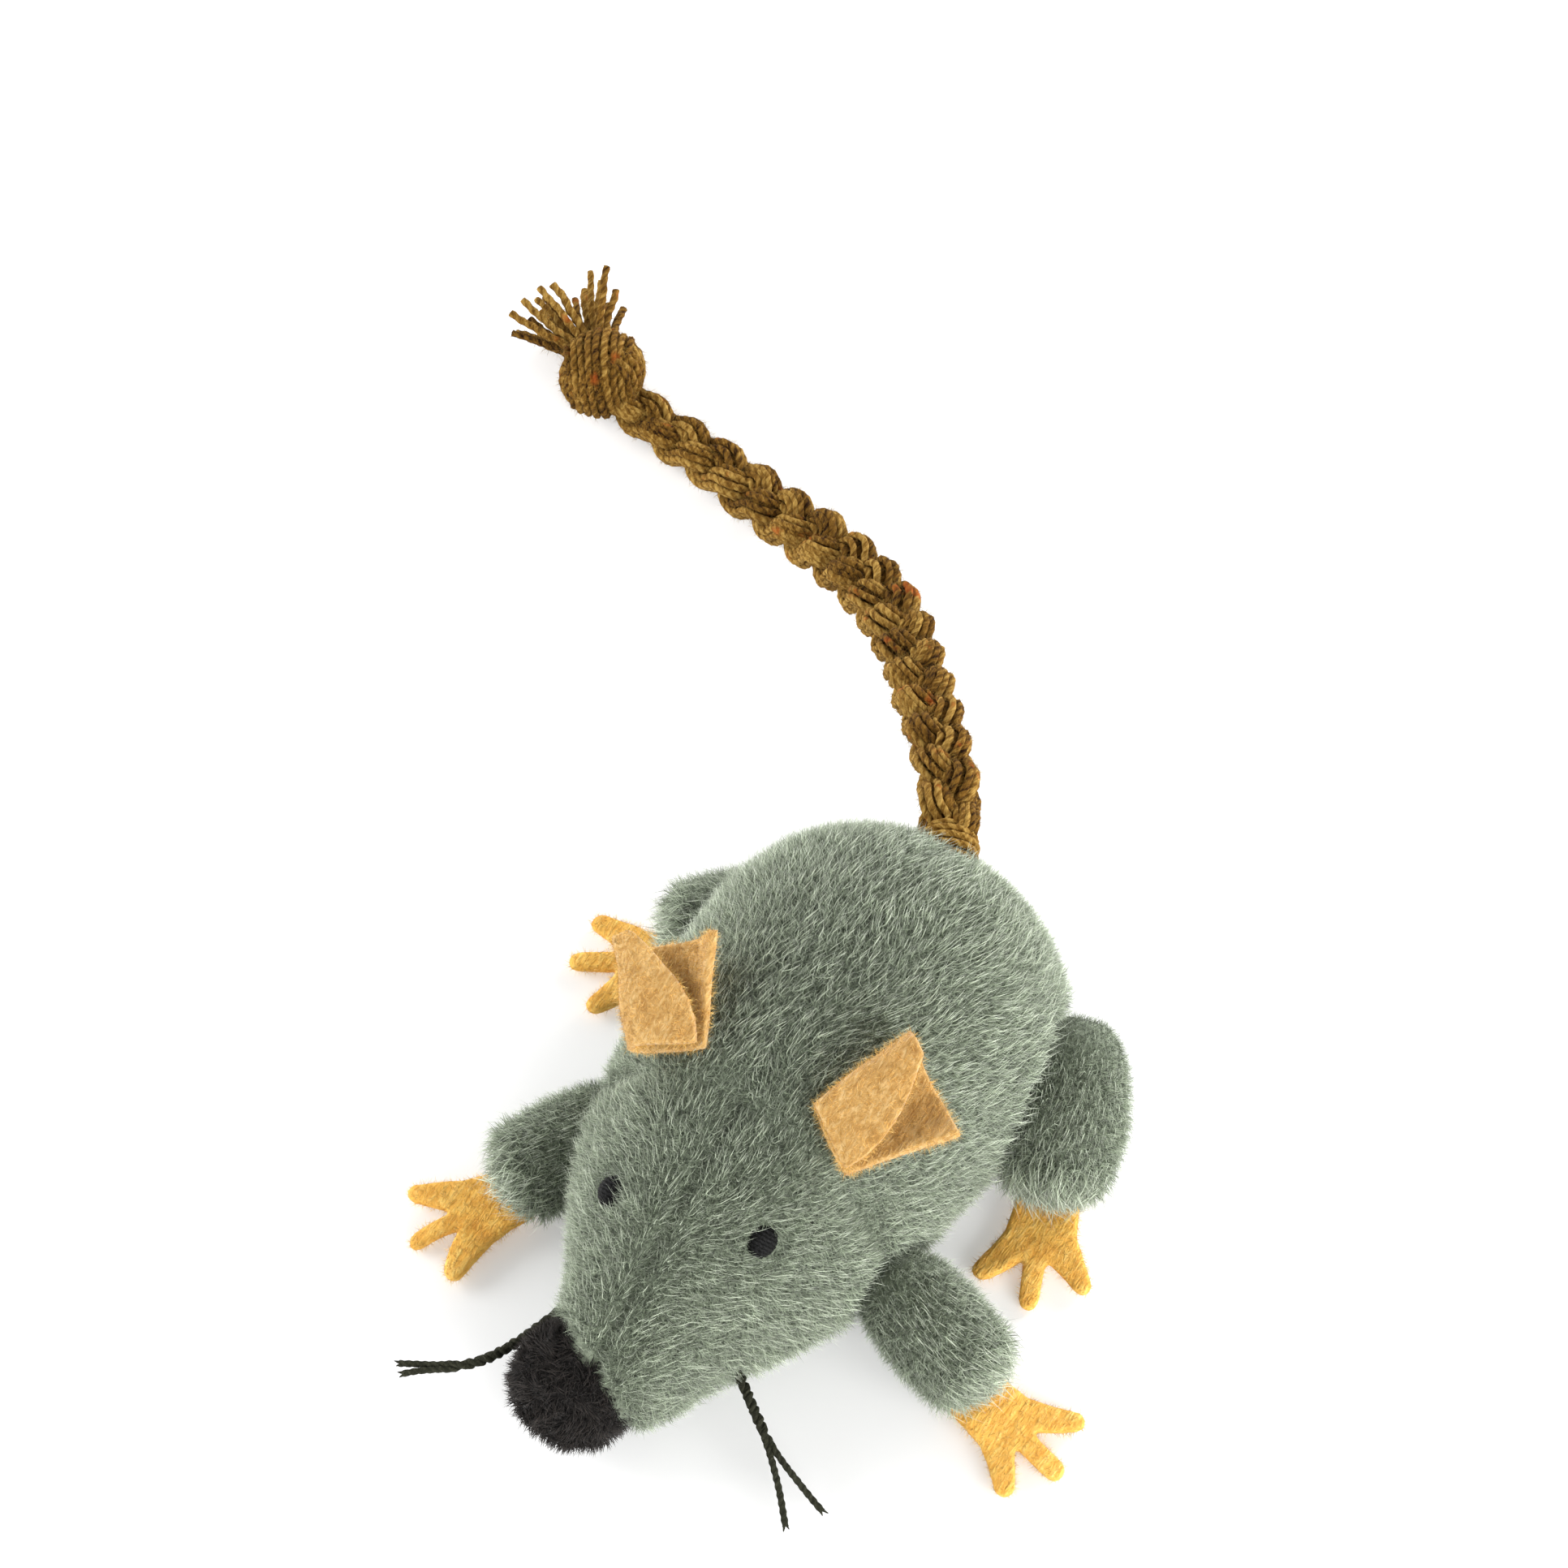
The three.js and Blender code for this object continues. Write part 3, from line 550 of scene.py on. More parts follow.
@dataclass(frozen=True)
class PileFinish:
    """Loose fibres, darker towards the root as painted shade deep in the pile, lighter towards the tip as
    painted light at its surface, and toned from fibre to fibre.
    """

    name: str
    # root is painted shade deep in the pile and tip is painted light at its surface; middle is the fibre's
    # own colour
    root: Colour
    middle: Colour
    tip: Colour
    warm: Colour
    warmth: float = 0.35
    roughness: float = 0.7
    sheen: float = 0.2

    def material(self) -> bpy.types.Material:
        """Makes the finish, once.

        Returns:
            The node material.
        """
        known = bpy.data.materials.get(self.name)
        if known:
            return known
        material, tree, shader = new_material(self.name)
        place = add_node(tree, "ShaderNodeUVMap", uv_map=UV_NAME)
        parts = tree.nodes.new("ShaderNodeSeparateXYZ")
        tree.links.new(place.outputs["UV"], parts.inputs[0])
        # Painted shade at the root and painted light at the tip, read along each fibre
        along = ramp(tree, [(0.0, self.root), (0.45, self.middle), (1.0, self.tip)])
        tree.links.new(parts.outputs["Y"], along.inputs["Fac"])
        tones = ramp(tree, [(0.1, (0.35, 0.35, 0.35)), (0.5, (0.95, 0.95, 0.95)), (0.9, (1.5, 1.5, 1.5))])
        tree.links.new(parts.outputs["X"], tones.inputs["Fac"])
        shaded = add_node(tree, "ShaderNodeMix", data_type="RGBA", blend_type="MULTIPLY")
        shaded.inputs["Factor"].default_value = 1
        tree.links.new(along.outputs["Color"], shaded.inputs[6])
        tree.links.new(tones.outputs["Color"], shaded.inputs[7])
        odd = ramp(tree, [(0.0, (0, 0, 0)), (0.86, (0, 0, 0)), (0.97, (self.warmth,) * 3)])
        tree.links.new(parts.outputs["X"], odd.inputs["Fac"])
        tinted = add_node(tree, "ShaderNodeMix", data_type="RGBA")
        tree.links.new(odd.outputs["Color"], tinted.inputs["Factor"])
        tree.links.new(shaded.outputs[2], tinted.inputs[6])
        tinted.inputs[7].default_value = (*self.warm, 1)
        tree.links.new(tinted.outputs[2], shader.inputs["Base Color"])
        shader.inputs["Roughness"].default_value = self.roughness
        shader.inputs["Sheen Weight"].default_value = self.sheen
        shader.inputs["Specular IOR Level"].default_value = 0.25
        return material


def spun_group() -> bpy.types.NodeTree:
    """Makes the shared group that draws two twisted plies and their fibres on a yarn, once. Its Plies output
    is low in the grooves between the plies, which a yarn's colour takes as painted shade.

    Returns:
        The group's tree.
    """
    known = bpy.data.node_groups.get("spun_plies")
    if known:
        return known
    tree = bpy.data.node_groups.new("spun_plies", "ShaderNodeTree")
    for name in ("Plies", "Fibres", "Tone"):
        tree.interface.new_socket(name, in_out="OUTPUT", socket_type="NodeSocketFloat")
    outside = tree.nodes.new("NodeGroupOutput")
    place = tree.nodes.new("ShaderNodeSeparateXYZ")
    tree.links.new(add_node(tree, "ShaderNodeUVMap", uv_map=YARN_MAP).outputs["UV"], place.inputs[0])
    turn = add_node(tree, "ShaderNodeMath", operation="ADD")
    tree.links.new(place.outputs["X"], turn.inputs[0])
    tree.links.new(place.outputs["Y"], turn.inputs[1])
    phase = add_node(tree, "ShaderNodeMath", operation="MULTIPLY")
    phase.inputs[1].default_value = 4 * math.pi
    tree.links.new(turn.outputs[0], phase.inputs[0])
    wave = add_node(tree, "ShaderNodeMath", operation="COSINE")
    tree.links.new(phase.outputs[0], wave.inputs[0])
    plies = tree.nodes.new("ShaderNodeMapRange")
    plies.inputs["From Min"].default_value = -1
    plies.inputs["From Max"].default_value = 0.4
    tree.links.new(wave.outputs[0], plies.inputs["Value"])
    tree.links.new(plies.outputs["Result"], outside.inputs["Plies"])
    tone = add_node(tree, "ShaderNodeAttribute", attribute_name="tone")
    tree.links.new(tone.outputs["Fac"], outside.inputs["Tone"])
    line = tree.nodes.new("ShaderNodeCombineXYZ")
    tree.links.new(turn.outputs[0], line.inputs["X"])
    slow = add_node(tree, "ShaderNodeMath", operation="MULTIPLY")
    slow.inputs[1].default_value = 0.28
    tree.links.new(place.outputs["Y"], slow.inputs[0])
    tree.links.new(slow.outputs[0], line.inputs["Y"])
    tree.links.new(tone.outputs["Fac"], line.inputs["Z"])
    fibres = tree.nodes.new("ShaderNodeTexNoise")
    fibres.inputs["Scale"].default_value = 11
    fibres.inputs["Detail"].default_value = 3
    tree.links.new(line.outputs[0], fibres.inputs["Vector"])
    tree.links.new(fibres.outputs["Fac"], outside.inputs["Fibres"])
    return tree


@dataclass(frozen=True)
class YarnFinish:
    """Spun wool or thread, toned yarn by yarn, darker in the grooves between its plies as painted shade, and
    flecked along its length.
    """

    name: str
    dark: Colour
    middle: Colour
    light: Colour
    fleck: Colour
    flecks: float = 0.5
    grain: float = 0.0005
    roughness: float = 0.95
    cloud: float = 0.0035
    dim: float = -0.47
    relief: float = 0.0002

    def material(self) -> bpy.types.Material:
        """Makes the finish, once.

        Returns:
            The node material.
        """
        known = bpy.data.materials.get(self.name)
        if known:
            return known
        material, tree, shader = new_material(self.name)
        spun = add_node(tree, "ShaderNodeGroup", node_tree=spun_group())
        matted = add_node(tree, "ShaderNodeGroup", node_tree=fibre_group())
        matted.inputs["Fibre Size"].default_value = self.grain
        matted.inputs["Cloud Size"].default_value = self.cloud
        shade = None
        # The Plies share darkens the colour in the grooves between the plies as painted shade; the other
        # shares are fibre grain and each yarn's own tone.
        parts = (
            (spun.outputs["Plies"], 0.25),
            (spun.outputs["Fibres"], 0.8),
            (matted.outputs["Fibres"], 0.5),
            (spun.outputs["Tone"], 0.45),
        )
        for value, share in parts:
            made = add_node(tree, "ShaderNodeMath", operation="MULTIPLY_ADD")
            made.inputs[1].default_value = share
            made.inputs[2].default_value = self.dim
            tree.links.new(value, made.inputs[0])
            if shade:
                tree.links.new(shade, made.inputs[2])
            shade = made.outputs[0]
        colours = ramp(tree, [(0.05, self.dark), (0.5, self.middle), (0.95, self.light)])
        tree.links.new(shade, colours.inputs["Fac"])
        spots = ramp(tree, [(0.0, (0, 0, 0)), (0.62, (0, 0, 0)), (0.72, (self.flecks,) * 3)])
        tree.links.new(matted.outputs["Clouds"], spots.inputs["Fac"])
        mixed = add_node(tree, "ShaderNodeMix", data_type="RGBA")
        tree.links.new(spots.outputs["Color"], mixed.inputs["Factor"])
        tree.links.new(colours.outputs["Color"], mixed.inputs[6])
        mixed.inputs[7].default_value = (*self.fleck, 1)
        tree.links.new(mixed.outputs[2], shader.inputs["Base Color"])
        bump = tree.nodes.new("ShaderNodeBump")
        bump.inputs["Distance"].default_value = self.relief
        tree.links.new(shade, bump.inputs["Height"])
        tree.links.new(bump.outputs["Normal"], shader.inputs["Normal"])
        shader.inputs["Roughness"].default_value = self.roughness
        shader.inputs["Specular IOR Level"].default_value = 0.12
        return material


class Finish(Enum):
    """Every finish on the mouse."""

    # The backing cloth is coloured darker than the pile above it: painted shade under the pile.
    BACKING = ClothFinish("plush_backing", (0.09, 0.11, 0.075), (0.17, 0.2, 0.14), (0.28, 0.32, 0.24))
    # The undercoat is coloured darker than the pile above it: painted shade deep in the pile.
    UNDERCOAT = PileFinish("plush_undercoat", (0.05, 0.065, 0.04), (0.19, 0.23, 0.155), (0.44, 0.5, 0.365),
                           (0.6, 0.65, 0.5))
    # Dark roots are painted shade, and pale tips are painted light on the pile's surface and rims.
    PILE = PileFinish("plush_pile", (0.08, 0.105, 0.065), (0.36, 0.42, 0.3), (0.78, 0.83, 0.69),
                      (0.85, 0.88, 0.75))
    FELT = ClothFinish("ear_felt", (0.33, 0.16, 0.035), (0.52, 0.31, 0.1), (0.74, 0.53, 0.25))
    PAW_FELT = ClothFinish("paw_felt", (0.66, 0.29, 0.045), (0.84, 0.48, 0.1), (0.92, 0.68, 0.22), sheen=0.0)
    FELT_FUZZ = PileFinish("felt_fuzz", (0.55, 0.28, 0.05), (0.78, 0.48, 0.13), (0.93, 0.7, 0.3),
                           (0.95, 0.8, 0.5), sheen=0.0)
    POMPOM_CORE = ClothFinish("pompom_core", (0.008, 0.007, 0.006), (0.015, 0.013, 0.012),
                              (0.03, 0.027, 0.025))
    POMPOM = PileFinish("pompom_fibres", (0.006, 0.005, 0.004), (0.015, 0.012, 0.01), (0.042, 0.034, 0.029),
                        (0.1, 0.08, 0.07), sheen=0.05)
    EYE = YarnFinish("black_eye_thread", (0.003, 0.003, 0.003), (0.008, 0.008, 0.008), (0.02, 0.02, 0.02),
                     (0.02, 0.02, 0.02), 0.2, 0.0003, 0.45)
    WHISKER = YarnFinish("whisker_thread", (0.008, 0.008, 0.005), (0.024, 0.025, 0.015), (0.06, 0.06, 0.04),
                         (0.045, 0.045, 0.03), 0.3, 0.0003, 0.8)
    WOOL = YarnFinish("brown_wool", (0.018, 0.006, 0.0005), (0.17, 0.082, 0.012), (0.42, 0.26, 0.065),
                      (0.36, 0.075, 0.01), 0.6)
    WOOL_FUZZ = PileFinish("brown_wool_fuzz", (0.1, 0.045, 0.006), (0.25, 0.14, 0.022), (0.44, 0.3, 0.06),
                           (0.5, 0.36, 0.1), sheen=0.0)
    FILL = ClothFinish("fibre_fill", (0.6, 0.58, 0.53), (0.78, 0.76, 0.7), (0.88, 0.87, 0.83), 0.0009, 0.006)
    LINEN = ClothFinish("sachet_linen", (0.38, 0.32, 0.2), (0.56, 0.48, 0.31), (0.7, 0.62, 0.44), 0.0004,
                        0.003)

    def made(self) -> bpy.types.Material:
        """Returns the material of this finish."""
        return self.value.material()


# Pile, grown by geometry nodes
@dataclass(frozen=True)
class PileNodes:
    """A tree of geometry nodes that grows leaning fibres on a skin."""

    name: str = "grow_pile"
    sizes: tuple[tuple[str, float], ...] = (
        ("Density", 4e6), ("Length", 0.004), ("Lean", 1.2), ("Tuft", 0.5), ("Tuft Size", 0.003),
        ("Stray", 0.25),
    )

    def tree(self) -> bpy.types.NodeTree:
        """Builds the tree, once.

        Returns:
            The tree.
        """
        known = bpy.data.node_groups.get(self.name)
        if known:
            return known
        tree = bpy.data.node_groups.new(self.name, "GeometryNodeTree")
        face = tree.interface
        face.new_socket("Skin", in_out="INPUT", socket_type="NodeSocketGeometry")
        face.new_socket("Strand", in_out="INPUT", socket_type="NodeSocketObject")
        face.new_socket("Fibre", in_out="INPUT", socket_type="NodeSocketMaterial")
        for name, start in self.sizes:
            face.new_socket(name, in_out="INPUT", socket_type="NodeSocketFloat").default_value = start
        face.new_socket("Seed", in_out="INPUT", socket_type="NodeSocketInt").default_value = 1
        face.new_socket("Pile", in_out="OUTPUT", socket_type="NodeSocketGeometry")
        given = tree.nodes.new("NodeGroupInput").outputs
        result = tree.nodes.new("NodeGroupOutput").inputs
        join = tree.links.new

        points = tree.nodes.new("GeometryNodeDistributePointsOnFaces")
        join(given["Skin"], points.inputs["Mesh"])
        fuller = self.number(tree, "MULTIPLY", self.read(tree, "pile", "FLOAT"), 2.5)
        shown = self.number(tree, "MINIMUM", fuller, 1.0)
        join(self.number(tree, "MULTIPLY", given["Density"], shown), socket(points.inputs, "Density"))
        join(given["Seed"], points.inputs["Seed"])
        comb = self.read(tree, "comb", "FLOAT_VECTOR")
        pile = self.read(tree, "pile", "FLOAT")

        place = tree.nodes.new("GeometryNodeInputPosition")
        per = add_node(tree, "ShaderNodeMath", operation="DIVIDE")
        per.inputs[0].default_value = 1
        join(given["Tuft Size"], per.inputs[1])
        tufts = tree.nodes.new("ShaderNodeTexNoise")
        tufts.inputs["Detail"].default_value = 1.5
        join(place.outputs[0], tufts.inputs["Vector"])
        join(per.outputs[0], tufts.inputs["Scale"])
        centred = self.vector(tree, "SUBTRACT", tufts.outputs["Color"], (0.5, 0.5, 0.5))
        tuft = self.vector(tree, "SCALE", centred, given["Tuft"])
        any_way = self.random(tree, "FLOAT_VECTOR", -1, 1, given["Seed"])
        stray = self.vector(tree, "SCALE", any_way, given["Stray"])
        lean = self.vector(tree, "SCALE", comb, given["Lean"])
        heading = self.vector(tree, "ADD", points.outputs["Normal"], lean)
        heading = self.vector(tree, "ADD", heading, tuft)
        heading = self.vector(tree, "ADD", heading, stray)
        rise = add_node(tree, "FunctionNodeAlignRotationToVector", axis="Z")
        join(heading, rise.inputs["Vector"])
        swing = add_node(tree, "FunctionNodeAlignRotationToVector", axis="X", pivot_axis="Z")
        join(rise.outputs[0], swing.inputs["Rotation"])
        join(self.vector(tree, "ADD", comb, tuft), swing.inputs["Vector"])

        chance = self.random(tree, "FLOAT", 0.65, 1.25, given["Seed"])
        long = self.number(tree, "MULTIPLY", self.number(tree, "MULTIPLY", given["Length"], chance), pile)
        spread = tree.nodes.new("GeometryNodeInstanceOnPoints")
        strand = tree.nodes.new("GeometryNodeObjectInfo")
        join(given["Strand"], strand.inputs["Object"])
        join(points.outputs["Points"], spread.inputs["Points"])
        join(strand.outputs["Geometry"], spread.inputs["Instance"])
        join(swing.outputs[0], spread.inputs["Rotation"])
        join(long, spread.inputs["Scale"])

        patch = self.number(tree, "MULTIPLY", tufts.outputs["Fac"], 0.7)
        own = self.random(tree, "FLOAT", -0.2, 0.5, given["Seed"], 7)
        tone = self.number(tree, "ADD", patch, own)
        kept = add_node(tree, "GeometryNodeStoreNamedAttribute", data_type="FLOAT", domain="INSTANCE")
        kept.inputs["Name"].default_value = "tone"
        join(spread.outputs[0], kept.inputs["Geometry"])
        join(tone, socket(kept.inputs, "Value"))
        real = tree.nodes.new("GeometryNodeRealizeInstances")
        join(kept.outputs[0], real.inputs[0])
        pair = tree.nodes.new("ShaderNodeCombineXYZ")
        join(self.read(tree, "tone", "FLOAT"), pair.inputs["X"])
        join(self.read(tree, "along", "FLOAT"), pair.inputs["Y"])
        mapped = add_node(tree, "GeometryNodeStoreNamedAttribute", data_type="FLOAT2", domain="CORNER")
        mapped.inputs["Name"].default_value = UV_NAME
        join(real.outputs[0], mapped.inputs["Geometry"])
        join(pair.outputs[0], socket(mapped.inputs, "Value"))
        dressed = tree.nodes.new("GeometryNodeSetMaterial")
        join(mapped.outputs[0], dressed.inputs["Geometry"])
        join(given["Fibre"], dressed.inputs["Material"])
        join(dressed.outputs[0], result["Pile"])
        return tree

    @staticmethod
    def read(tree: bpy.types.NodeTree, name: str, kind: str) -> bpy.types.NodeSocket:
        """Adds a node that reads a named attribute.

        Args:
            tree: The node tree.
            name: The attribute's name.
            kind: Its type.

        Returns:
            The socket of its values.
        """
        made = add_node(tree, "GeometryNodeInputNamedAttribute", data_type=kind)
        made.inputs["Name"].default_value = name
        return socket(made.outputs, "Attribute")

    @staticmethod
    def vector(tree: bpy.types.NodeTree, operation: str, first: bpy.types.NodeSocket,
               second: object) -> bpy.types.NodeSocket:
        """Adds a sum on vectors.

        Args:
            tree: The node tree.
            operation: The kind of sum.
            first: The first vector's socket.
            second: A plain vector, or the socket of a vector or number.

        Returns:
            The socket of the result.
        """
        made = add_node(tree, "ShaderNodeVectorMath", operation=operation)
        tree.links.new(first, made.inputs[0])
        other = made.inputs["Scale"] if operation == "SCALE" else made.inputs[1]
        if isinstance(second, tuple):
            other.default_value = second
        else:
            tree.links.new(second, other)
        return made.outputs[0]

    @staticmethod
    def number(tree: bpy.types.NodeTree, operation: str, first: bpy.types.NodeSocket,
               second: object) -> bpy.types.NodeSocket:
        """Adds a sum on numbers.

        Args:
            tree: The node tree.
            operation: The kind of sum.
            first: The first number's socket.
            second: A plain number or its socket.

        Returns:
            The socket of the result.
        """
        made = add_node(tree, "ShaderNodeMath", operation=operation)
        tree.links.new(first, made.inputs[0])
        if isinstance(second, float):
            made.inputs[1].default_value = second
        else:
            tree.links.new(second, made.inputs[1])
        return made.outputs[0]

    @staticmethod
    def random(tree: bpy.types.NodeTree, kind: str, low: float, high: float, seed: bpy.types.NodeSocket,
               shift: float = 0.0) -> bpy.types.NodeSocket:
        """Adds random values.

        Args:
            tree: The node tree.
            kind: The type of the values.
            low: The least.
            high: The most.
            seed: The socket of the pile's seed.
            shift: Added to the seed.

        Returns:
            The socket of the values.
        """
        made = add_node(tree, "FunctionNodeRandomValue", data_type=kind)
        wide = kind == "FLOAT_VECTOR"
        socket(made.inputs, "Min").default_value = (low,) * 3 if wide else low
        socket(made.inputs, "Max").default_value = (high,) * 3 if wide else high
        tree.links.new(PileNodes.number(tree, "ADD", seed, float(shift)), socket(made.inputs, "Seed"))
        return socket(made.outputs, "Value")


def strand_template(thin: float, bend: float) -> bpy.types.Object:
    """Makes the fibre that a pile repeats: three-sided, tapered, one unit long.

    Args:
        thin: Its radius as a share of its length.
        bend: How far its tip leans over. At zero the fibre is a plain spike.

    Returns:
        An object outside the scene.
    """
    levels = [(0.0, 0.0, 1.0), (0.5, 0.28, 0.85)] if bend else [(0.0, 0.0, 1.0)]
    points, along = [], []
    for rise, aside, wide in levels:
        for k in range(3):
            angle = k * 2 * math.pi / 3
            points.append((bend * aside + thin * wide * math.cos(angle), thin * wide * math.sin(angle), rise))
            along.append(rise)
    points.append((bend, 0, 1 - bend * 0.35))
    along.append(1.0)
    tip = len(points) - 1
    faces = [(k, (k + 1) % 3, 3 + (k + 1) % 3, 3 + k) for k in range(3)] if bend else []
    faces += [(tip - 3 + k, tip - 3 + (k + 1) % 3, tip) for k in range(3)]
    mesh = mesh_of("strand", np.array(points), faces)
    store(mesh, "along", np.array(along))
    return bpy.data.objects.new("strand", mesh)


@dataclass(frozen=True)
class Pile:
    """One kind of pile: fibres to the square millimetre, and how long, thin and leaning they are."""

    finish: Finish
    density: float
    length: float
    thin: float
    bend: float
    lean: float
    tuft: float
    tuft_size: float
    stray: float

    def grow(self, name: str, skin: bpy.types.Mesh, seed: int) -> bpy.types.Object:
        """Grows the pile on a skin that holds its comb and pile.

        Args:
            name: The name of the new piece.
            skin: The mesh to grow on.
            seed: Fixes what is random.

        Returns:
            The fibres as a plain mesh object.
        """
        strand = strand_template(self.thin, self.bend)
        bed = link(name + "_bed", skin.copy())
        tree = PileNodes().tree()
        modifier = bed.modifiers.new("pile", "NODES")
        modifier.node_group = tree
        values = {"Strand": strand, "Fibre": self.finish.made(), "Density": self.density / MM**2,
                  "Length": self.length, "Lean": self.lean, "Tuft": self.tuft, "Tuft Size": self.tuft_size,
                  "Stray": self.stray, "Seed": seed}
        for item in tree.interface.items_tree:
            if item.in_out == "INPUT" and item.name in values:
                modifier[item.identifier] = values[item.name]
        mesh = evaluated(bed)
        bpy.data.objects.remove(bed)
        bpy.data.objects.remove(strand)
        mesh.name = name
        return link(name, mesh)


def part_of(mesh: bpy.types.Mesh, keep: np.ndarray) -> bpy.types.Mesh:
    """Returns a copy of a mesh with only some of its faces.

    Args:
        mesh: The whole mesh.
        keep: True for each face to keep.

    Returns:
        The copy, with the attributes of the whole.
    """
    copy = mesh.copy()
    shape = bmesh.new()
    shape.from_mesh(copy)
    shape.faces.ensure_lookup_table()
    bmesh.ops.delete(shape, geom=[f for f in shape.faces if not keep[f.index]], context="FACES")
    shape.to_mesh(copy)
    shape.free()
    return copy


def face_centres(mesh: bpy.types.Mesh) -> np.ndarray:
    """Reads the middle of each face.

    Args:
        mesh: The mesh.

    Returns:
        One row per face.
    """
    flat = np.empty(len(mesh.polygons) * 3, dtype=np.float32)
    mesh.polygons.foreach_get("center", flat)
    return flat.reshape(-1, 3)


def swell(mesh: bpy.types.Mesh, held: np.ndarray, most: float) -> None:
    """Lets stuffing press a sewn cover outwards between its seams, by cloth simulation.

    Args:
        mesh: The cover, which is changed.
        held: True for each point that a seam holds.
        most: The furthest that a point may move.
    """
    grow = 10.0
    steps = 20
    start = points_of(mesh)
    trial = link("swelling", mesh.copy())
    move_points(trial.data, start * grow)
    pins = trial.vertex_groups.new(name="seams")
    pins.add([int(i) for i in np.flatnonzero(held)], 1.0, "REPLACE")
    cloth = trial.modifiers.new("stuffing", "CLOTH")
    cloth.settings.quality = 6
    cloth.settings.mass = 0.3
    cloth.settings.use_pressure = True
    cloth.settings.uniform_pressure_force = 4
    cloth.settings.vertex_group_mass = pins.name
    cloth.settings.effector_weights.gravity = 0
    cloth.point_cache.frame_start = 1
    cloth.point_cache.frame_end = steps
    scene = bpy.context.scene
    for step in range(1, steps + 1):
        scene.frame_set(step)
    swollen = points_of(evaluated(trial)) / grow
    scene.frame_set(1)
    bpy.data.objects.remove(trial)
    shift = swollen - start
    far = np.linalg.norm(shift, axis=1, keepdims=True)
    move_points(mesh, start + shift * np.minimum(1, most / np.maximum(far, 1e-9)))


# Limbs
@dataclass(frozen=True)
class LimbSize:
    """Radii along a limb, its length, and its end's height above the root of the paw."""

    root: float
    middle: float
    end: float
    face: float
    length: float
    ankle: float


ARM = LimbSize(0.0069, 0.0073, 0.0069, 0.0054, 0.0102, 0.0046)
LEG = LimbSize(0.0082, 0.0088, 0.0078, 0.0058, 0.012, 0.0052)
LIMB_CAP = 0.0036
PAW_ROOT_UP = 0.003121


@dataclass
class Limb:
    """A plush sleeve that is sewn on at its root, swings there and carries a paw."""

    name: str
    size: LimbSize
    seam: tuple[float, float, float]
    yaw: float
    swing: tuple[float, float]
    pile: float = 0.0011
    rings: int = 30
    sides: int = 34
    end_round: float = 0.0026
    swelling: float = 0.0005
    lowest: float = 0.0008

    def place(self, turn: float = 0.0) -> Matrix:
        """Places the limb, whose length is along -Y until then.

        Args:
            turn: Degrees of swing from rest.

        Returns:
            The limb's place.
        """
        fall = self.seam[2] - PAW_ROOT_UP - self.size.ankle
        droop = math.asin(fall / (self.size.length + LIMB_CAP))
        heading = Matrix.Rotation(math.radians(self.yaw + turn), 4, "Z")
        return Matrix.Translation(self.seam) @ heading @ Matrix.Rotation(droop, 4, "X")

    def radius(self, along: np.ndarray) -> np.ndarray:
        """Reads the limb's radius.

        Args:
            along: Distances from its seam.

        Returns:
            The radii there, zero past its ends.
        """
        s = self.size
        ball = np.sqrt(np.maximum(0, s.root**2 - np.minimum(along, 0) ** 2))
        tube = follow([(0, s.root), (s.length * 0.5, s.middle), (s.length, s.end),
                       (s.length + LIMB_CAP * 0.8, s.face + 0.0008)], np.clip(along, 0, None))
        past = along > s.length + LIMB_CAP
        return np.where(past, 0, np.where(along < 0, ball, tube))

    def holds(self, points: np.ndarray, room: float) -> np.ndarray:
        """Finds the points that the limb reaches somewhere in its swing.

        Args:
            points: The points.
            room: The room round the limb.

        Returns:
            True for each point that it reaches.
        """
        low, high = self.swing
        inside = np.zeros(len(points), dtype=bool)
        for turn in (low, 0, (low + high) / 2, high):
            back = np.array(self.place(turn).inverted())
            local = points @ back[:3, :3].T + back[:3, 3]
            away = np.hypot(local[:, 0], local[:, 2])
            along = -local[:, 1]
            near_ball = np.linalg.norm(local, axis=1) < self.size.root + room
            in_tube = (along > 0) & (along < self.size.length + LIMB_CAP + room)
            inside |= near_ball | (in_tube & (away < self.radius(along) + room))
        return inside

    def away(self, points: np.ndarray) -> np.ndarray:
        """Measures how far points are outside the limb at rest.

        Args:
            points: The points.

        Returns:
            One distance per point, below zero inside.
        """
        back = np.array(self.place().inverted())
        local = points @ back[:3, :3].T + back[:3, 3]
        along = np.clip(-local[:, 1], 0, self.size.length)
        nearest = np.stack([np.zeros_like(along), -along, np.zeros_like(along)], axis=-1)
        return np.linalg.norm(local - nearest, axis=1) - self.radius(along)

    def sleeve(self) -> tuple[bpy.types.Mesh, np.ndarray]:
        """Makes the closed sleeve under the pile.

        Returns:
            Its mesh, and its points as they were before the sleeve was put in place.
        """
        s = self.size
        end = s.length + LIMB_CAP - self.pile * 0.6
        share = np.linspace(0.02, 0.995, self.rings)
        along = -s.root + self.pile + share * (end + s.root - self.pile)
        wide = np.maximum(self.radius(along) - self.pile, 0.0004)
        close = np.clip((end - along) / self.end_round, 0, 1)
        wide *= np.sqrt(1 - (1 - close) ** 2) * 0.75 + 0.25
        angle = np.arange(self.sides) * 2 * math.pi / self.sides
        ring = np.stack(np.broadcast_arrays(wide[:, None] * np.cos(angle), -along[:, None],
                                            wide[:, None] * np.sin(angle)), axis=-1)
        local = np.vstack([ring.reshape(-1, 3), [[0, -along[0] + 0.0004, 0]], [[0, -along[-1] - 0.0003, 0]]])
        turn = np.array(self.place())
        points = local @ turn[:3, :3].T + turn[:3, 3]
        points += wobble(points, 0.011, len(self.name)) * 0.0005
        mesh = mesh_of(self.name + "_plush", points, capped_faces(self.rings, self.sides))
        swell(mesh, local[:, 1] > -0.0005, self.swelling)
        points = points_of(mesh)
        points[:, 2] = np.maximum(points[:, 2], self.lowest)
        move_points(mesh, points)
        return mesh, local

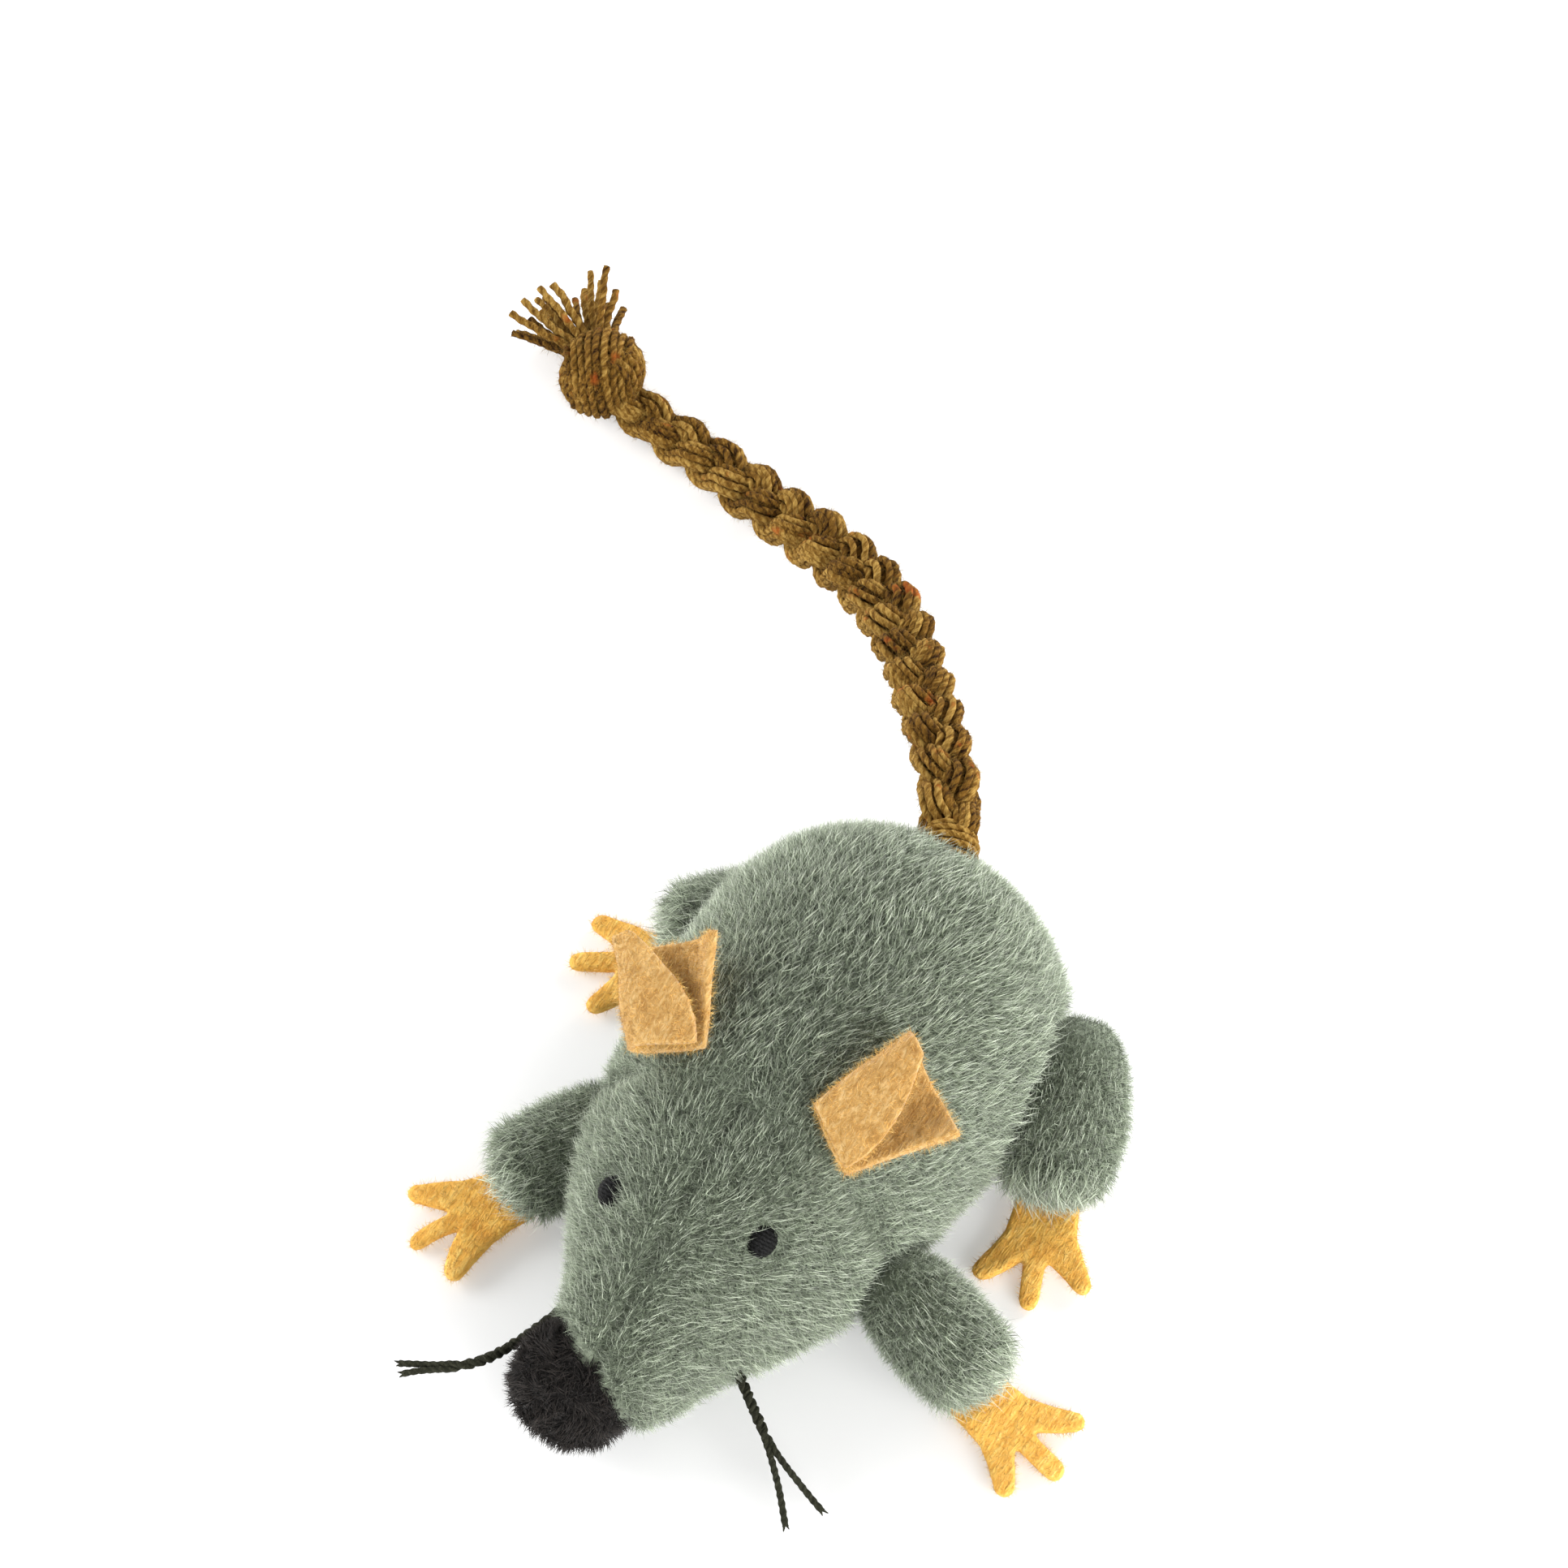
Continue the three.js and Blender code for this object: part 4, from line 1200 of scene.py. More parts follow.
    def comb(self, mesh: bpy.types.Mesh, local: np.ndarray) -> None:
        """Stores which way the sleeve's pile lies and how long it is at each point.

        Args:
            mesh: The sleeve.
            local: Its points before it was put in place.
        """
        points, normal = points_of(mesh), normals_of(mesh)
        heading = np.array(self.place().to_3x3() @ Vector((0, -1, 0)))
        comb = np.broadcast_to(heading, points.shape) + wobble(points, 0.009, 3.0) * 0.55
        store(mesh, "comb", lying(comb, normal))
        room = np.clip((points[:, 2] - 0.0006) / 0.004, 0.22, 1)
        buried = np.where(StuffedBody().holds(points), 0.15, 1)
        over_paw = 1 + 0.75 * np.clip((-local[:, 1] - self.size.length * 0.9) / LIMB_CAP, 0, 1)
        behind = 1 - 0.35 * np.clip(local[:, 1] / 0.004, 0, 1)
        store(mesh, "pile", room * buried * over_paw * behind)

    def build(self) -> bpy.types.Object:
        """Makes the sleeve and its pile.

        Returns:
            The sleeve.
        """
        mesh, local = self.sleeve()
        self.comb(mesh, local)
        sleeve = link(self.name + "_plush", mesh, Finish.BACKING.made())
        seed = sum(map(ord, self.name))
        pieces = [sleeve]
        for number, (layer, pile) in enumerate(zip(("undercoat", "pile"), PLUSH_LAYERS)):
            pieces.append(pile.grow(f"{self.name}_{layer}", mesh, seed + number))
        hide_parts(self.name + "_sleeve")
        for piece in pieces:
            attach(piece, self.name)
        return sleeve


PLUSH_LAYERS = (
    Pile(Finish.UNDERCOAT, density=12.0, length=0.0018, thin=0.032, bend=0.0, lean=0.25, tuft=0.5,
         tuft_size=0.0016, stray=1.2),
    Pile(Finish.PILE, density=6.4, length=0.0024, thin=0.016, bend=0.8, lean=0.3, tuft=0.45,
         tuft_size=0.0018, stray=1.4),
)
LIMBS = (
    Limb("arm_left", ARM, (0.02525, -0.00864, 0.010794), 78, (-20, 25)),
    Limb("arm_right", ARM, (-0.0208, -0.00936, 0.010206), -32, (-30, 0)),
    Limb("leg_left", LEG, (0.025, 0.02898, 0.01386), 22, (-5, 30)),
    Limb("leg_right", LEG, (-0.0175, 0.0288, 0.01134), -58, (-12, 12)),
)


def clear_limbs(points: np.ndarray, normal: np.ndarray, room: float) -> np.ndarray:
    """Presses a soft surface in where limbs sit and swing.

    Args:
        points: The points of the surface.
        normal: Its outward directions.
        room: The room to leave round the limbs.

    Returns:
        The points after pressing.
    """
    presses, depth = 16, 0.0005
    for _ in range(presses):
        inside = np.zeros(len(points), dtype=bool)
        for limb in LIMBS:
            inside |= limb.holds(points, room)
        points = points - normal * np.where(inside, depth, 0)[:, None]
    return points


# Stuffed body and head
@dataclass
class StuffedBody:
    """The plush cover of body and head, its seams and its pile."""

    length: float = 0.090
    width: float = 0.050
    height: float = 0.042
    pile: float = 0.0013
    ear_mound: float = 0.0017
    ear_reach: float = 0.008
    swelling: float = 0.0012
    lowest: float = 0.0004
    limb_room: float = 0.0002
    face_seam: float = 0.0011
    spine_seam: float = 0.0005
    neck_seam: float = 0.0013
    neck_dip: float = 0.0011
    neck: float = 0.4
    belly_seam: float = 0.006
    rest_cut: float = 0.0005
    equator: float = 0.4
    belly_square: float = 0.72
    rings: int = 92
    sides: int = 108
    width_line: tuple = ((0, 0.1), (0.025, 0.25), (0.07, 0.36), (0.15, 0.48), (0.23, 0.65), (0.35, 0.85),
                         (0.5, 0.95), (0.66, 1), (0.8, 0.98), (0.91, 0.81), (0.97, 0.53), (1, 0.14))
    top_line: tuple = ((0, 0.33), (0.025, 0.43), (0.07, 0.52), (0.13, 0.61), (0.22, 0.73), (0.36, 0.88),
                       (0.5, 0.97), (0.64, 1), (0.8, 0.97), (0.91, 0.85), (0.97, 0.69), (1, 0.52))
    bottom_line: tuple = ((0, 0.23), (0.025, 0.15), (0.07, 0.09), (0.13, 0.05), (0.24, 0), (0.5, 0), (0.8, 0),
                          (0.91, 0.07), (0.97, 0.19), (1, 0.32))

    def neck_at(self) -> float:
        """Returns how far back the neck seam is."""
        return (self.neck - 0.5) * self.length

    def form(self, along: np.ndarray, angle: np.ndarray, inset: float) -> np.ndarray:
        """Returns points on the stuffed form.

        Args:
            along: Shares of the length from the muzzle.
            angle: Angles round the section, from the left side over the top.
            inset: How far inside the tips of the pile.

        Returns:
            One row per pair of along and angle.
        """
        full = follow(self.width_line, along)
        drawn = inset * np.minimum(1, full * 2)
        half = full * self.width / 2 - drawn
        top = follow(self.top_line, along) * self.height - drawn
        bottom = follow(self.bottom_line, along) * self.height - self.rest_cut + drawn
        widest = bottom + (top - bottom) * self.equator
        rise = np.sin(angle)
        up = np.where(rise > 0, (top - widest) * rise, -(widest - bottom) * np.abs(rise) ** self.belly_square)
        y = (along - 0.5) * (self.length - 2 * inset)
        return np.stack([half * np.cos(angle), y, widest + up], axis=-1)

    def holds(self, points: np.ndarray) -> np.ndarray:
        """Finds points inside the stuffed form, well under its pile.

        Args:
            points: The points.

        Returns:
            True for each point inside.
        """
        along = np.clip(points[:, 1] / self.length + 0.5, 0, 1)
        half = follow(self.width_line, along) * self.width / 2 - self.pile
        top = follow(self.top_line, along) * self.height - self.pile
        bottom = follow(self.bottom_line, along) * self.height
        widest = bottom + (top - bottom) * self.equator
        reach = np.where(points[:, 2] > widest, top - widest, widest - bottom)
        return (points[:, 0] / half) ** 2 + ((points[:, 2] - widest) / reach) ** 2 < 0.9

    def cover(self) -> bpy.types.Mesh:
        """Makes the closed cover under the pile, with its seams drawn in and seats for the limbs.

        Returns:
            The cover's mesh.
        """
        share = (1 - np.cos(np.linspace(0.05, math.pi - 0.05, self.rings))) / 2
        angle = np.arange(self.sides) * 2 * math.pi / self.sides
        along, round_ = np.meshgrid(share, angle, indexing="ij")
        points = self.form(along.ravel(), round_.ravel(), self.pile)
        ends = [points[:self.sides].mean(0), points[-self.sides:].mean(0)]
        points = np.vstack([points, ends])
        mesh = mesh_of("plush_cover", points, capped_faces(self.rings, self.sides))
        middle, neck = np.abs(points[:, 0]), np.abs(points[:, 1] - self.neck_at())
        upper = points[:, 2] > self.belly_seam
        held = (neck < 0.0008) | ((middle < 0.0006) & upper)
        held |= np.abs(points[:, 2] - self.belly_seam) < 0.0006
        held |= points[:, 2] < 0.0015
        swell(mesh, held, self.swelling)
        points = points_of(mesh)
        normal = normals_of(mesh)
        depth = np.where(points[:, 1] < self.neck_at(), self.face_seam, self.spine_seam) * upper
        neck_seam = self.neck_seam * near(neck, 0.0013) + self.neck_dip * near(neck, 0.005)
        to_limb = np.maximum(np.min([limb.away(points) for limb in LIMBS], axis=0), 0)
        neck_seam *= 1 - near(to_limb, 0.006)
        drawn = depth * near(middle, 0.0009) + neck_seam
        sewn = self.near_ears(points)
        points += normal * (self.ear_mound * sewn - drawn * (1 - sewn))[:, None]
        points = clear_limbs(points, normal, self.limb_room)
        points[:, 2] = np.maximum(points[:, 2], self.lowest)
        move_points(mesh, points)
        self.comb(mesh)
        return mesh

    def near_ears(self, points: np.ndarray) -> np.ndarray:
        """Measures how near points are to the sewn base of an ear.

        Args:
            points: The points.

        Returns:
            One value per point, from 0 to 1.
        """
        roots = [joint["pos_m"] for joint in frame["joints"] if joint["child"] in ("ear_left", "ear_right")]
        away = [np.linalg.norm(points - np.array(root), axis=1) for root in roots]
        return near(np.minimum(*away), self.ear_reach)

    def comb(self, mesh: bpy.types.Mesh) -> None:
        """Stores which way the pile lies and how long it is at each point.

        Args:
            mesh: The cover's mesh.
        """
        points, normal = points_of(mesh), normals_of(mesh)
        back = np.array([0.0, 1.0, -0.28]) + np.zeros_like(points)
        swirl = wobble(points, 0.016, 5.0) * 0.75 + wobble(points, 0.006, 9.0) * 0.35
        comb = lying(back + swirl, normal)
        near_floor = points[:, 2] < 0.004
        comb[:, 2] = np.where(near_floor, np.maximum(comb[:, 2], 0), comb[:, 2])
        store(mesh, "comb", comb)
        long = np.clip((points[:, 2] - 0.0004) / 0.0045, 0.08, 1)
        for limb in LIMBS:
            away = limb.away(points)
            long *= 1 + 0.35 * near(away, 0.004)
            long = np.where(limb.holds(points, 0.0009), np.minimum(long, 0.42), long)
            long = np.where(away < 0.0012, np.minimum(long, 0.4), long)
        neck = np.abs(points[:, 1] - self.neck_at())
        parted = near(np.abs(points[:, 0]), 0.0008) * (points[:, 1] < self.neck_at())
        sewn = self.near_ears(points)
        long *= 1 - 0.5 * np.maximum(parted, near(neck, 0.0013)) * (1 - sewn)
        nose = PompomNose()
        to_nose = np.linalg.norm(points - np.array(nose.middle), axis=1)
        long = np.where(to_nose < nose.radius + 0.0006, 0.25, long)
        eyes = [np.linalg.norm(points - np.array(eye.foot()), axis=1) for eye in EYES]
        long = np.where(np.minimum(*eyes) < 0.0021, 0.25, long)
        store(mesh, "pile", long)

    def build(self) -> bpy.types.Object:
        """Makes the cover and the pile of each panel.

        Returns:
            The cover.
        """
        mesh = self.cover()
        cover = link("plush_cover", mesh, Finish.BACKING.made())
        panels = self.panels(mesh)
        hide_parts(*panels)
        pieces = [cover]
        for number, (name, keep) in enumerate(panels.items()):
            skin = part_of(mesh, keep)
            for layer, pile in zip(("undercoat", "pile"), PLUSH_LAYERS):
                pieces.append(pile.grow(name.replace("panel", layer), skin, 11 * number + len(layer)))
        for piece in pieces:
            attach(piece, "torso")
        return cover

    def panels(self, mesh: bpy.types.Mesh) -> dict[str, np.ndarray]:
        """Shares the cover's faces among the sewn panels.

        Args:
            mesh: The cover's mesh.

        Returns:
            Each panel's name, and True for each face that it has.
        """
        at = face_centres(mesh)
        low = at[:, 2] < self.belly_seam
        head = at[:, 1] < self.neck_at()
        left = at[:, 0] > 0
        return {
            "head_left_panel": ~low & head & left,
            "head_right_panel": ~low & head & ~left,
            "back_left_panel": ~low & ~head & left,
            "back_right_panel": ~low & ~head & ~left,
            "chin_panel": low & head,
            "belly_panel": low & ~head,
        }


# Face
@dataclass(frozen=True)
class PompomNose:
    """A dense ball of cut black fibres."""

    middle: tuple[float, float, float] = (-0.0032, -0.041, 0.01008)
    radius: float = 0.0082
    pile: float = 0.0008
    lump: float = 0.00035
    squash: tuple[float, float, float] = (1.02, 0.97, 0.98)

    def build(self) -> bpy.types.Object:
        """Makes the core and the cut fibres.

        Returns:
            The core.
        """
        shape = bmesh.new()
        bmesh.ops.create_icosphere(shape, subdivisions=5, radius=self.radius - self.pile)
        mesh = bpy.data.meshes.new("pompom_core")
        shape.to_mesh(mesh)
        shape.free()
        points = points_of(mesh)
        lumps = wobble(points, 0.0045, 2.0)[:, :1] * self.lump
        points = points * (1 + lumps / self.radius) * np.array(self.squash) + np.array(self.middle)
        move_points(mesh, points)
        mesh.polygons.foreach_set("use_smooth", [True] * len(mesh.polygons))
        store(mesh, "comb", unit(wobble(points, 0.0022, 4.0)))
        store(mesh, "pile", np.ones(len(points)))
        core = link("pompom_core", mesh, Finish.POMPOM_CORE.made())
        fibres = Pile(Finish.POMPOM, density=17.0, length=0.0019, thin=0.03, bend=0.35, lean=0.5, tuft=0.6,
                      tuft_size=0.0012, stray=0.8)
        fuzz = fibres.grow("pompom_fibres", mesh, 21)
        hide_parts("pompom_nose")
        for piece in (core, fuzz):
            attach(piece, "torso")
        return core


@dataclass(frozen=True)
class Eye:
    """A small pad of black thread, half sunk in the pile."""

    node: str
    width: float = 0.0033
    height: float = 0.0040
    depth: float = 0.0024
    threads: int = 9
    thread: float = 0.00032
    twist: float = 0.0012
    sunk: float = 0.0012
    foot_sunk: float = 0.0014

    def frame(self) -> tuple[np.ndarray, np.ndarray, np.ndarray, np.ndarray]:
        """Places the eye at its node.

        Returns:
            Its middle and its outward, across and lengthways directions.
        """
        middle = middle_of(self.node)
        side = 1.0 if middle[0] > 0 else -1.0
        out = unit(np.array([side * 0.42, -0.42, 0.8]))
        along = unit(np.array([0, 1, 0.5]) - out * (np.array([0, 1, 0.5]) @ out))
        return middle, out, np.cross(along, out), along

    def foot(self) -> np.ndarray:
        """Returns where the eye meets the cover."""
        middle, out, _, _ = self.frame()
        return middle - out * self.foot_sunk

    def build(self) -> bpy.types.Object:
        """Makes the pad from threads laid side by side over a dome.

        Returns:
            The pad.
        """
        middle, out, across, along = self.frame()
        tubes = Tubes(sides=6)
        base = middle - out * self.sunk
        for k in range(self.threads):
            place = (k - (self.threads - 1) / 2) / (self.threads / 2)
            reach = math.sqrt(1 - place**2 * 0.9)
            turn = np.linspace(0, math.pi, 15)[:, None]
            path = (base + along * place * self.height / 2 - across * np.cos(turn) * reach * self.width / 2
                    + out * np.sin(turn) * reach * self.depth)
            tubes.add(path, self.thread, self.twist, 0.4 + 0.25 * (k % 2))
        pad = link(self.node + "_thread", tubes.mesh(self.node + "_thread"), Finish.EYE.made())
        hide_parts(self.node)
        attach(pad, "torso")
        return pad


EYES = (Eye("eye_left"), Eye("eye_right"))


@dataclass(frozen=True)
class WhiskerPair:
    """Two dark threads that leave the muzzle together and part towards their tips."""

    side: str
    route: tuple[tuple[float, float, float], ...]
    spread: float
    first: float
    diameter: float = 0.0009
    gap: float = -0.0003
    fork: float = 0.55
    twine: int = 4

    def build(self) -> list[bpy.types.Object]:
        """Makes both threads, each twisted from two plies.

        Returns:
            Both threads.
        """
        middle = smooth_path(self.route, 0.0002)
        far = np.linspace(0, 1, len(middle))
        across = unit(np.cross((0, 0, 1), middle[-1] - middle[0]))
        together = np.clip(far / self.fork, 0, 1)
        turn = 2 * math.pi * self.twine * together**2 * (3 - 2 * together)
        apart = (self.spread - self.diameter) / 2 * np.clip((far - self.fork) / (1 - self.fork), 0, 1) ** 1.3
        pieces = []
        for name, hand in (("front", self.first), ("back", -self.first)):
            near = (self.diameter + self.gap) / 2
            aside = across * (near * np.cos(turn) + apart)[:, None]
            aside += np.outer(near * np.sin(turn), (0, 0, 1))
            path = middle + hand * aside
            path += wobble(path, 0.004, 8.0 + hand) * 0.00012
            tubes = Tubes(sides=10)
            tubes.add(path, self.diameter / 2, 0.0021, 0.5)
            for ply in (1, -1):
                stub = path[-6:] + across * ply * np.linspace(0, 0.0004, 6)[:, None]
                tubes.add(stub + (path[-1] - path[-6]) * 0.5, self.diameter / 4, 0.002, 0.6, 0.8)
            name = f"whisker_{self.side}_{name}"
            piece = link(name + "_thread", tubes.mesh(name + "_thread"), Finish.WHISKER.made())
            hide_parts(name)
            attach(piece, "whiskers_" + self.side)
            pieces.append(piece)
        return pieces


WHISKERS = (
    WhiskerPair("left", ((0.011, -0.0272, 0.010), (0.021, -0.0334, 0.006), (0.0288, -0.0377, 0.0024)),
                0.0054, -1),
    WhiskerPair("right", ((-0.010, -0.031, 0.0098), (-0.0156, -0.0438, 0.0078), (-0.024, -0.0498, 0.0062)),
                0.0018, 1, fork=0.8, twine=6),
)


# Felt
def soft_copy(node: str, name: str, voxel: float, rounds: int) -> bpy.types.Mesh:
    """Returns a finer, rounder copy of a node's solid.

    Args:
        node: The node.
        name: The new mesh's name.
        voxel: How fine it is.
        rounds: How often it is smoothed.

    Returns:
        The copy, in place.
    """
    mesh = frame["nodes"][node].data.copy()
    shape = bmesh.new()
    shape.from_mesh(mesh)
    bmesh.ops.remove_doubles(shape, verts=shape.verts, dist=1e-5)
    shape.to_mesh(mesh)
    shape.free()
    mesh.materials.clear()
    trial = link(name + "_trial", mesh)
    remesh = trial.modifiers.new("finer", "REMESH")
    remesh.mode = "VOXEL"
    remesh.voxel_size = voxel
    remesh.use_smooth_shade = True
    rounder = trial.modifiers.new("rounder", "SMOOTH")
    rounder.factor = 0.5
    rounder.iterations = rounds
    made = evaluated(trial)
    bpy.data.objects.remove(trial)
    made.name = name
    return made


FUZZ = Pile(Finish.FELT_FUZZ, density=13.0, length=0.0011, thin=0.02, bend=0.0, lean=0.9, tuft=0.6,
            tuft_size=0.0014, stray=2.2)
PAW_CLEAR = 0.0008


@dataclass(frozen=True)
class FeltPiece:
    """A piece cut from ochre felt, with its fuzz."""

    node: str
    body: str
    flat: tuple[float, float]
    area: float
    held: str
    finish: Finish = Finish.FELT
    curl: float = 0.0004
    bend: tuple[str, tuple, tuple] | None = None
    tuck: float = 0.0024
    tuck_from: float = 0.0014
    voxel: float = 0.00032
    lowest: float = 0.0001

    def tucked(self, points: np.ndarray) -> np.ndarray:
        """Draws the root of a paw into its sleeve.

        Args:
            points: The paw's points.

        Returns:
            The points after that.
        """
        start, end = np.array(self.bend[1]), np.array(self.bend[2])
        out = unit((end - start)[None])[0]
        past_root = (points - start) @ out - PAW_CLEAR
        return points - np.clip(1 - past_root / self.tuck_from, 0, 1)[:, None] * out * self.tuck

    def build(self) -> bpy.types.Object:
        """Makes the felt and the fuzz on it.

        Returns:
            The felt.
        """
        mesh = soft_copy(self.node, self.node + "_felt", self.voxel, 5)
        points = points_of(mesh)
        points += wobble(points, 0.007, len(self.node) * 0.7) * self.curl
        points = self.tucked(points) if self.bend else points
        points[:, 2] = np.maximum(points[:, 2], self.lowest)
        move_points(mesh, points)
        store(mesh, "comb", unit(wobble(points, 0.0035, 6.0)))
        store(mesh, "pile", np.clip(points[:, 2] / 0.0012, 0.15, 1))
        felt = link(self.node + "_felt", mesh, self.finish.made())
        fuzz = FUZZ.grow(self.node + "_fuzz", mesh, len(self.node))
        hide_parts(self.node)
        for piece in (felt, fuzz):
            if self.bend:
                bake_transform(piece)
            else:
                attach(piece, self.body)
        return felt


def felt_pieces() -> list[FeltPiece]:
    """Lists the ears and the paws.

    Returns:
        One entry for each.
    """
    made = [FeltPiece(name, name, (0.0219, 0.0146), 0.000308, "folded") for name in ("ear_left", "ear_right")]
    for limb in LIMBS:
        joint = next(j for j in frame["joints"] if j["child"] == limb.name + "_paw")
        root = Vector(joint["pos_m"])
        out = Matrix.Rotation(math.radians(limb.yaw), 3, "Z") @ Vector((0, -1, 0))
        bend = (limb.name, tuple(root - out * PAW_CLEAR), tuple(root + out * 0.003))
        made.append(FeltPiece(limb.name + "_paw", limb.name + "_paw", (0.0165, 0.0166), 0.000131, "laid",
                              Finish.PAW_FELT, 0.0006, bend))
    return made


# Tail
@dataclass
class PlaitedTail:
    """Three strands of wool yarn in a plait, then a knot and loose ends."""

    root: tuple[float, float, float] = (-0.0019, 0.04158, 0.02751)
    route: tuple = ((0, 0, 1), (-4.4, 7, 1.02), (-10.5, 14, 0.93), (-18.4, 22.4, 0.76), (-26.1, 30.2, 0.6),
                    (-34.3, 36.5, 0.45), (-43.3, 41, 0.315), (-55.7, 44.6, 0.195), (-68.4, 47.3, 0.145),
                    (-82.5, 49.4, 0.125))
    thick_line: tuple = ((0, 0.96), (0.35, 1.05), (0.65, 1.05), (0.85, 0.86), (1, 0.72))
    wide: float = 0.0020
    deep: float = 0.0015
    pitch: float = 0.020
    yarn: float = 0.00054
    bundle_wide: float = 0.0019
    bundle_deep: float = 0.00135
    inner_yarn: float = 0.0011
    yarns: int = 11
    twist: float = 0.0030
    bound_radius: float = 0.0036
    tassel_fan: float = 74
    tassel_length: float = 0.0078
    tassel_yarns: int = 24
    bands: tuple = (((0.95, 0.1, 0.3), 0.84, 13), ((0.2, -0.6, 0.75), 0.9, 9), ((-0.75, -0.5, 0.4), 0.95, 8),
                    ((0.67, -0.74, 0.15), 1.02, 9))
    diameter: float = 0.0086
    seed: int = 12

    def path(self) -> np.ndarray:
        """Runs the middle line of the plait from the rump into the knot.

        Returns:
            The line, one row per point.
        """
        points = [(self.root[0] + aside * MM, self.root[1] + back * MM, self.root[2] * up)
                  for aside, back, up in self.route]
        into_knot = middle_of("tail_knot") * 0.8 + np.array(points[-1]) * 0.2
        return smooth_path([*points, tuple(into_knot)], 0.0004)

    def build(self) -> bpy.types.Object:
        """Makes plait, bound end, knot, tassel and fuzz.

        Returns:
            The plait.
        """
        chance = np.random.default_rng(self.seed)
        path = self.path()
        plait = self.plait(path, chance)
        knot = self.knot(chance)
        tassel = self.tassel(chance)
        bound = self.bound_end(path, chance)
        fuzz = [self.fuzz(piece, number) for number, piece in enumerate((plait, knot, tassel))]
        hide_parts("tail_strand_one", "tail_strand_two", "tail_strand_three")
        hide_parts("tail_knot")
        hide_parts("tail_tassel")
        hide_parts("tail_bound_end")
        for piece in (plait, knot, tassel, bound, *fuzz):
            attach(piece, "tail")
        return plait

    def plait(self, path: np.ndarray, chance: np.random.Generator) -> bpy.types.Object:
        """Makes the three strands, each a flat bundle of yarns that lie side by side.

        Args:
            path: The middle line.
            chance: The source of what is random.

        Returns:
            The plait.
        """
        far = along_path(path)
        thick = follow(self.thick_line, far / far[-1])
        forward = unit(np.gradient(path, axis=0))
        across = unit(np.cross(forward, (0, 0, 1)))
        up = np.cross(across, forward)
        tubes = Tubes(sides=7)
        for number in range(3):
            angle = far * 2 * math.pi / self.pitch + number * 2 * math.pi / 3
            edge_wave = np.sin(angle) + np.sin(3 * angle) / 5.5
            strand = path + across * (thick * self.wide * edge_wave)[:, None]
            strand += up * (thick * self.deep * np.sin(2 * angle))[:, None]
            heading = unit(np.gradient(strand, axis=0))
            rise = unit(up - heading * (up * heading).sum(1, keepdims=True))
            side = np.cross(heading, rise)
            # The core yarn inside each strand gets a low tone, so the gaps between the outer yarns show dark:
            # painted shade.
            tubes.add(strand, self.inner_yarn, self.twist, 0.1)
            for k in range(self.yarns):
                turn = k * 2 * math.pi / self.yarns + 0.25 * np.sin(far * 160 + number + k)
                reach = 0.94 + 0.12 * chance.random()
                yarn = strand + side * (thick * reach * self.bundle_wide * np.cos(turn))[:, None]
                yarn += rise * (thick * reach * self.bundle_deep * np.sin(turn))[:, None]
                yarn += wobble(yarn, 0.004, k + 7.0 * number) * 0.0002
                tubes.add(yarn, self.yarn * (0.9 + 0.2 * chance.random()), self.twist, chance.random())
        return link("tail_plait", tubes.mesh("tail_plait"), Finish.WOOL.made())

    def bound_end(self, path: np.ndarray, chance: np.random.Generator) -> bpy.types.Object:
        """Makes the turns of yarn that bind the plait where the rump holds it.

        Args:
            path: The middle line.
            chance: The source of what is random.

        Returns:
            The binding.
        """
        forward, side, up = (direction[0] for direction in path_frames(path[:40], (0, 0, 1)))
        middle = middle_of("tail_bound_end")
        turn = np.linspace(0, 12 * math.pi, 200)[:, None]
        along = self.bound_radius * np.linspace(-0.9, 0.9, 200)[:, None]
        ring = (side * np.cos(turn) + up * np.sin(turn)) * np.sqrt(self.bound_radius**2 - along**2)
        coil = middle + ring + forward * along
        tubes = Tubes(sides=7)
        tubes.add(coil, self.yarn, self.twist, chance.random())
        return link("tail_binding", tubes.mesh("tail_binding"), Finish.WOOL.made())

    def knot_frame(self) -> tuple[np.ndarray, np.ndarray, np.ndarray, np.ndarray]:
        """Places the knot at its node.

        Returns:
            Its middle, its wide direction, the line of the tail and its half sizes.
        """
        low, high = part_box("tail_knot")
        middle = (np.array(low) + np.array(high)) / 2
        path = self.path()
        forward = path[-16] - path[-28]
        forward[2] = 0
        forward = unit(forward)
        return middle, np.cross(forward, (0, 0, 1)), forward, (np.array(high) - np.array(low)) / 2

    def knot(self, chance: np.random.Generator) -> bpy.types.Object:
        """Makes the knot: bands of parallel yarns drawn tight over each other.

        Args:
            chance: The source of what is random.

        Returns:
            The knot.
        """
        middle, across, forward, size = self.knot_frame()
        rise = np.array([0.0, 0.0, 1.0])
        half = size - self.yarn * 0.6
        tubes = Tubes(sides=7)
        for number, (pole, shrink, yarns) in enumerate(self.bands):
            axis = unit(np.array(pole))
            first = unit(np.cross(axis, (0.1, 0.9, 0.2)))
            second = np.cross(axis, first)
            turn = np.linspace(0, 2 * math.pi, 72)[:, None]
            for k in range(yarns):
                tilt = (k - (yarns - 1) / 2) * 0.2
                ball = (first * np.cos(turn) + second * np.sin(turn)) * math.cos(tilt) + axis * math.sin(tilt)
                lift = shrink + 0.06 * np.sin(turn * 2 + number * 1.3)
                local = ball * half * lift
                loop = middle + across * local[:, :1] + forward * local[:, 1:2] + rise * local[:, 2:]
                loop += wobble(loop, 0.004, k + 11.0 * number) * 0.0003
                loop[:, 2] = np.maximum(loop[:, 2], self.yarn)
                tubes.add(loop, self.yarn * (0.95 + 0.2 * chance.random()), self.twist, chance.random())
        return link("tail_knot_yarn", tubes.mesh("tail_knot_yarn"), Finish.WOOL.made())

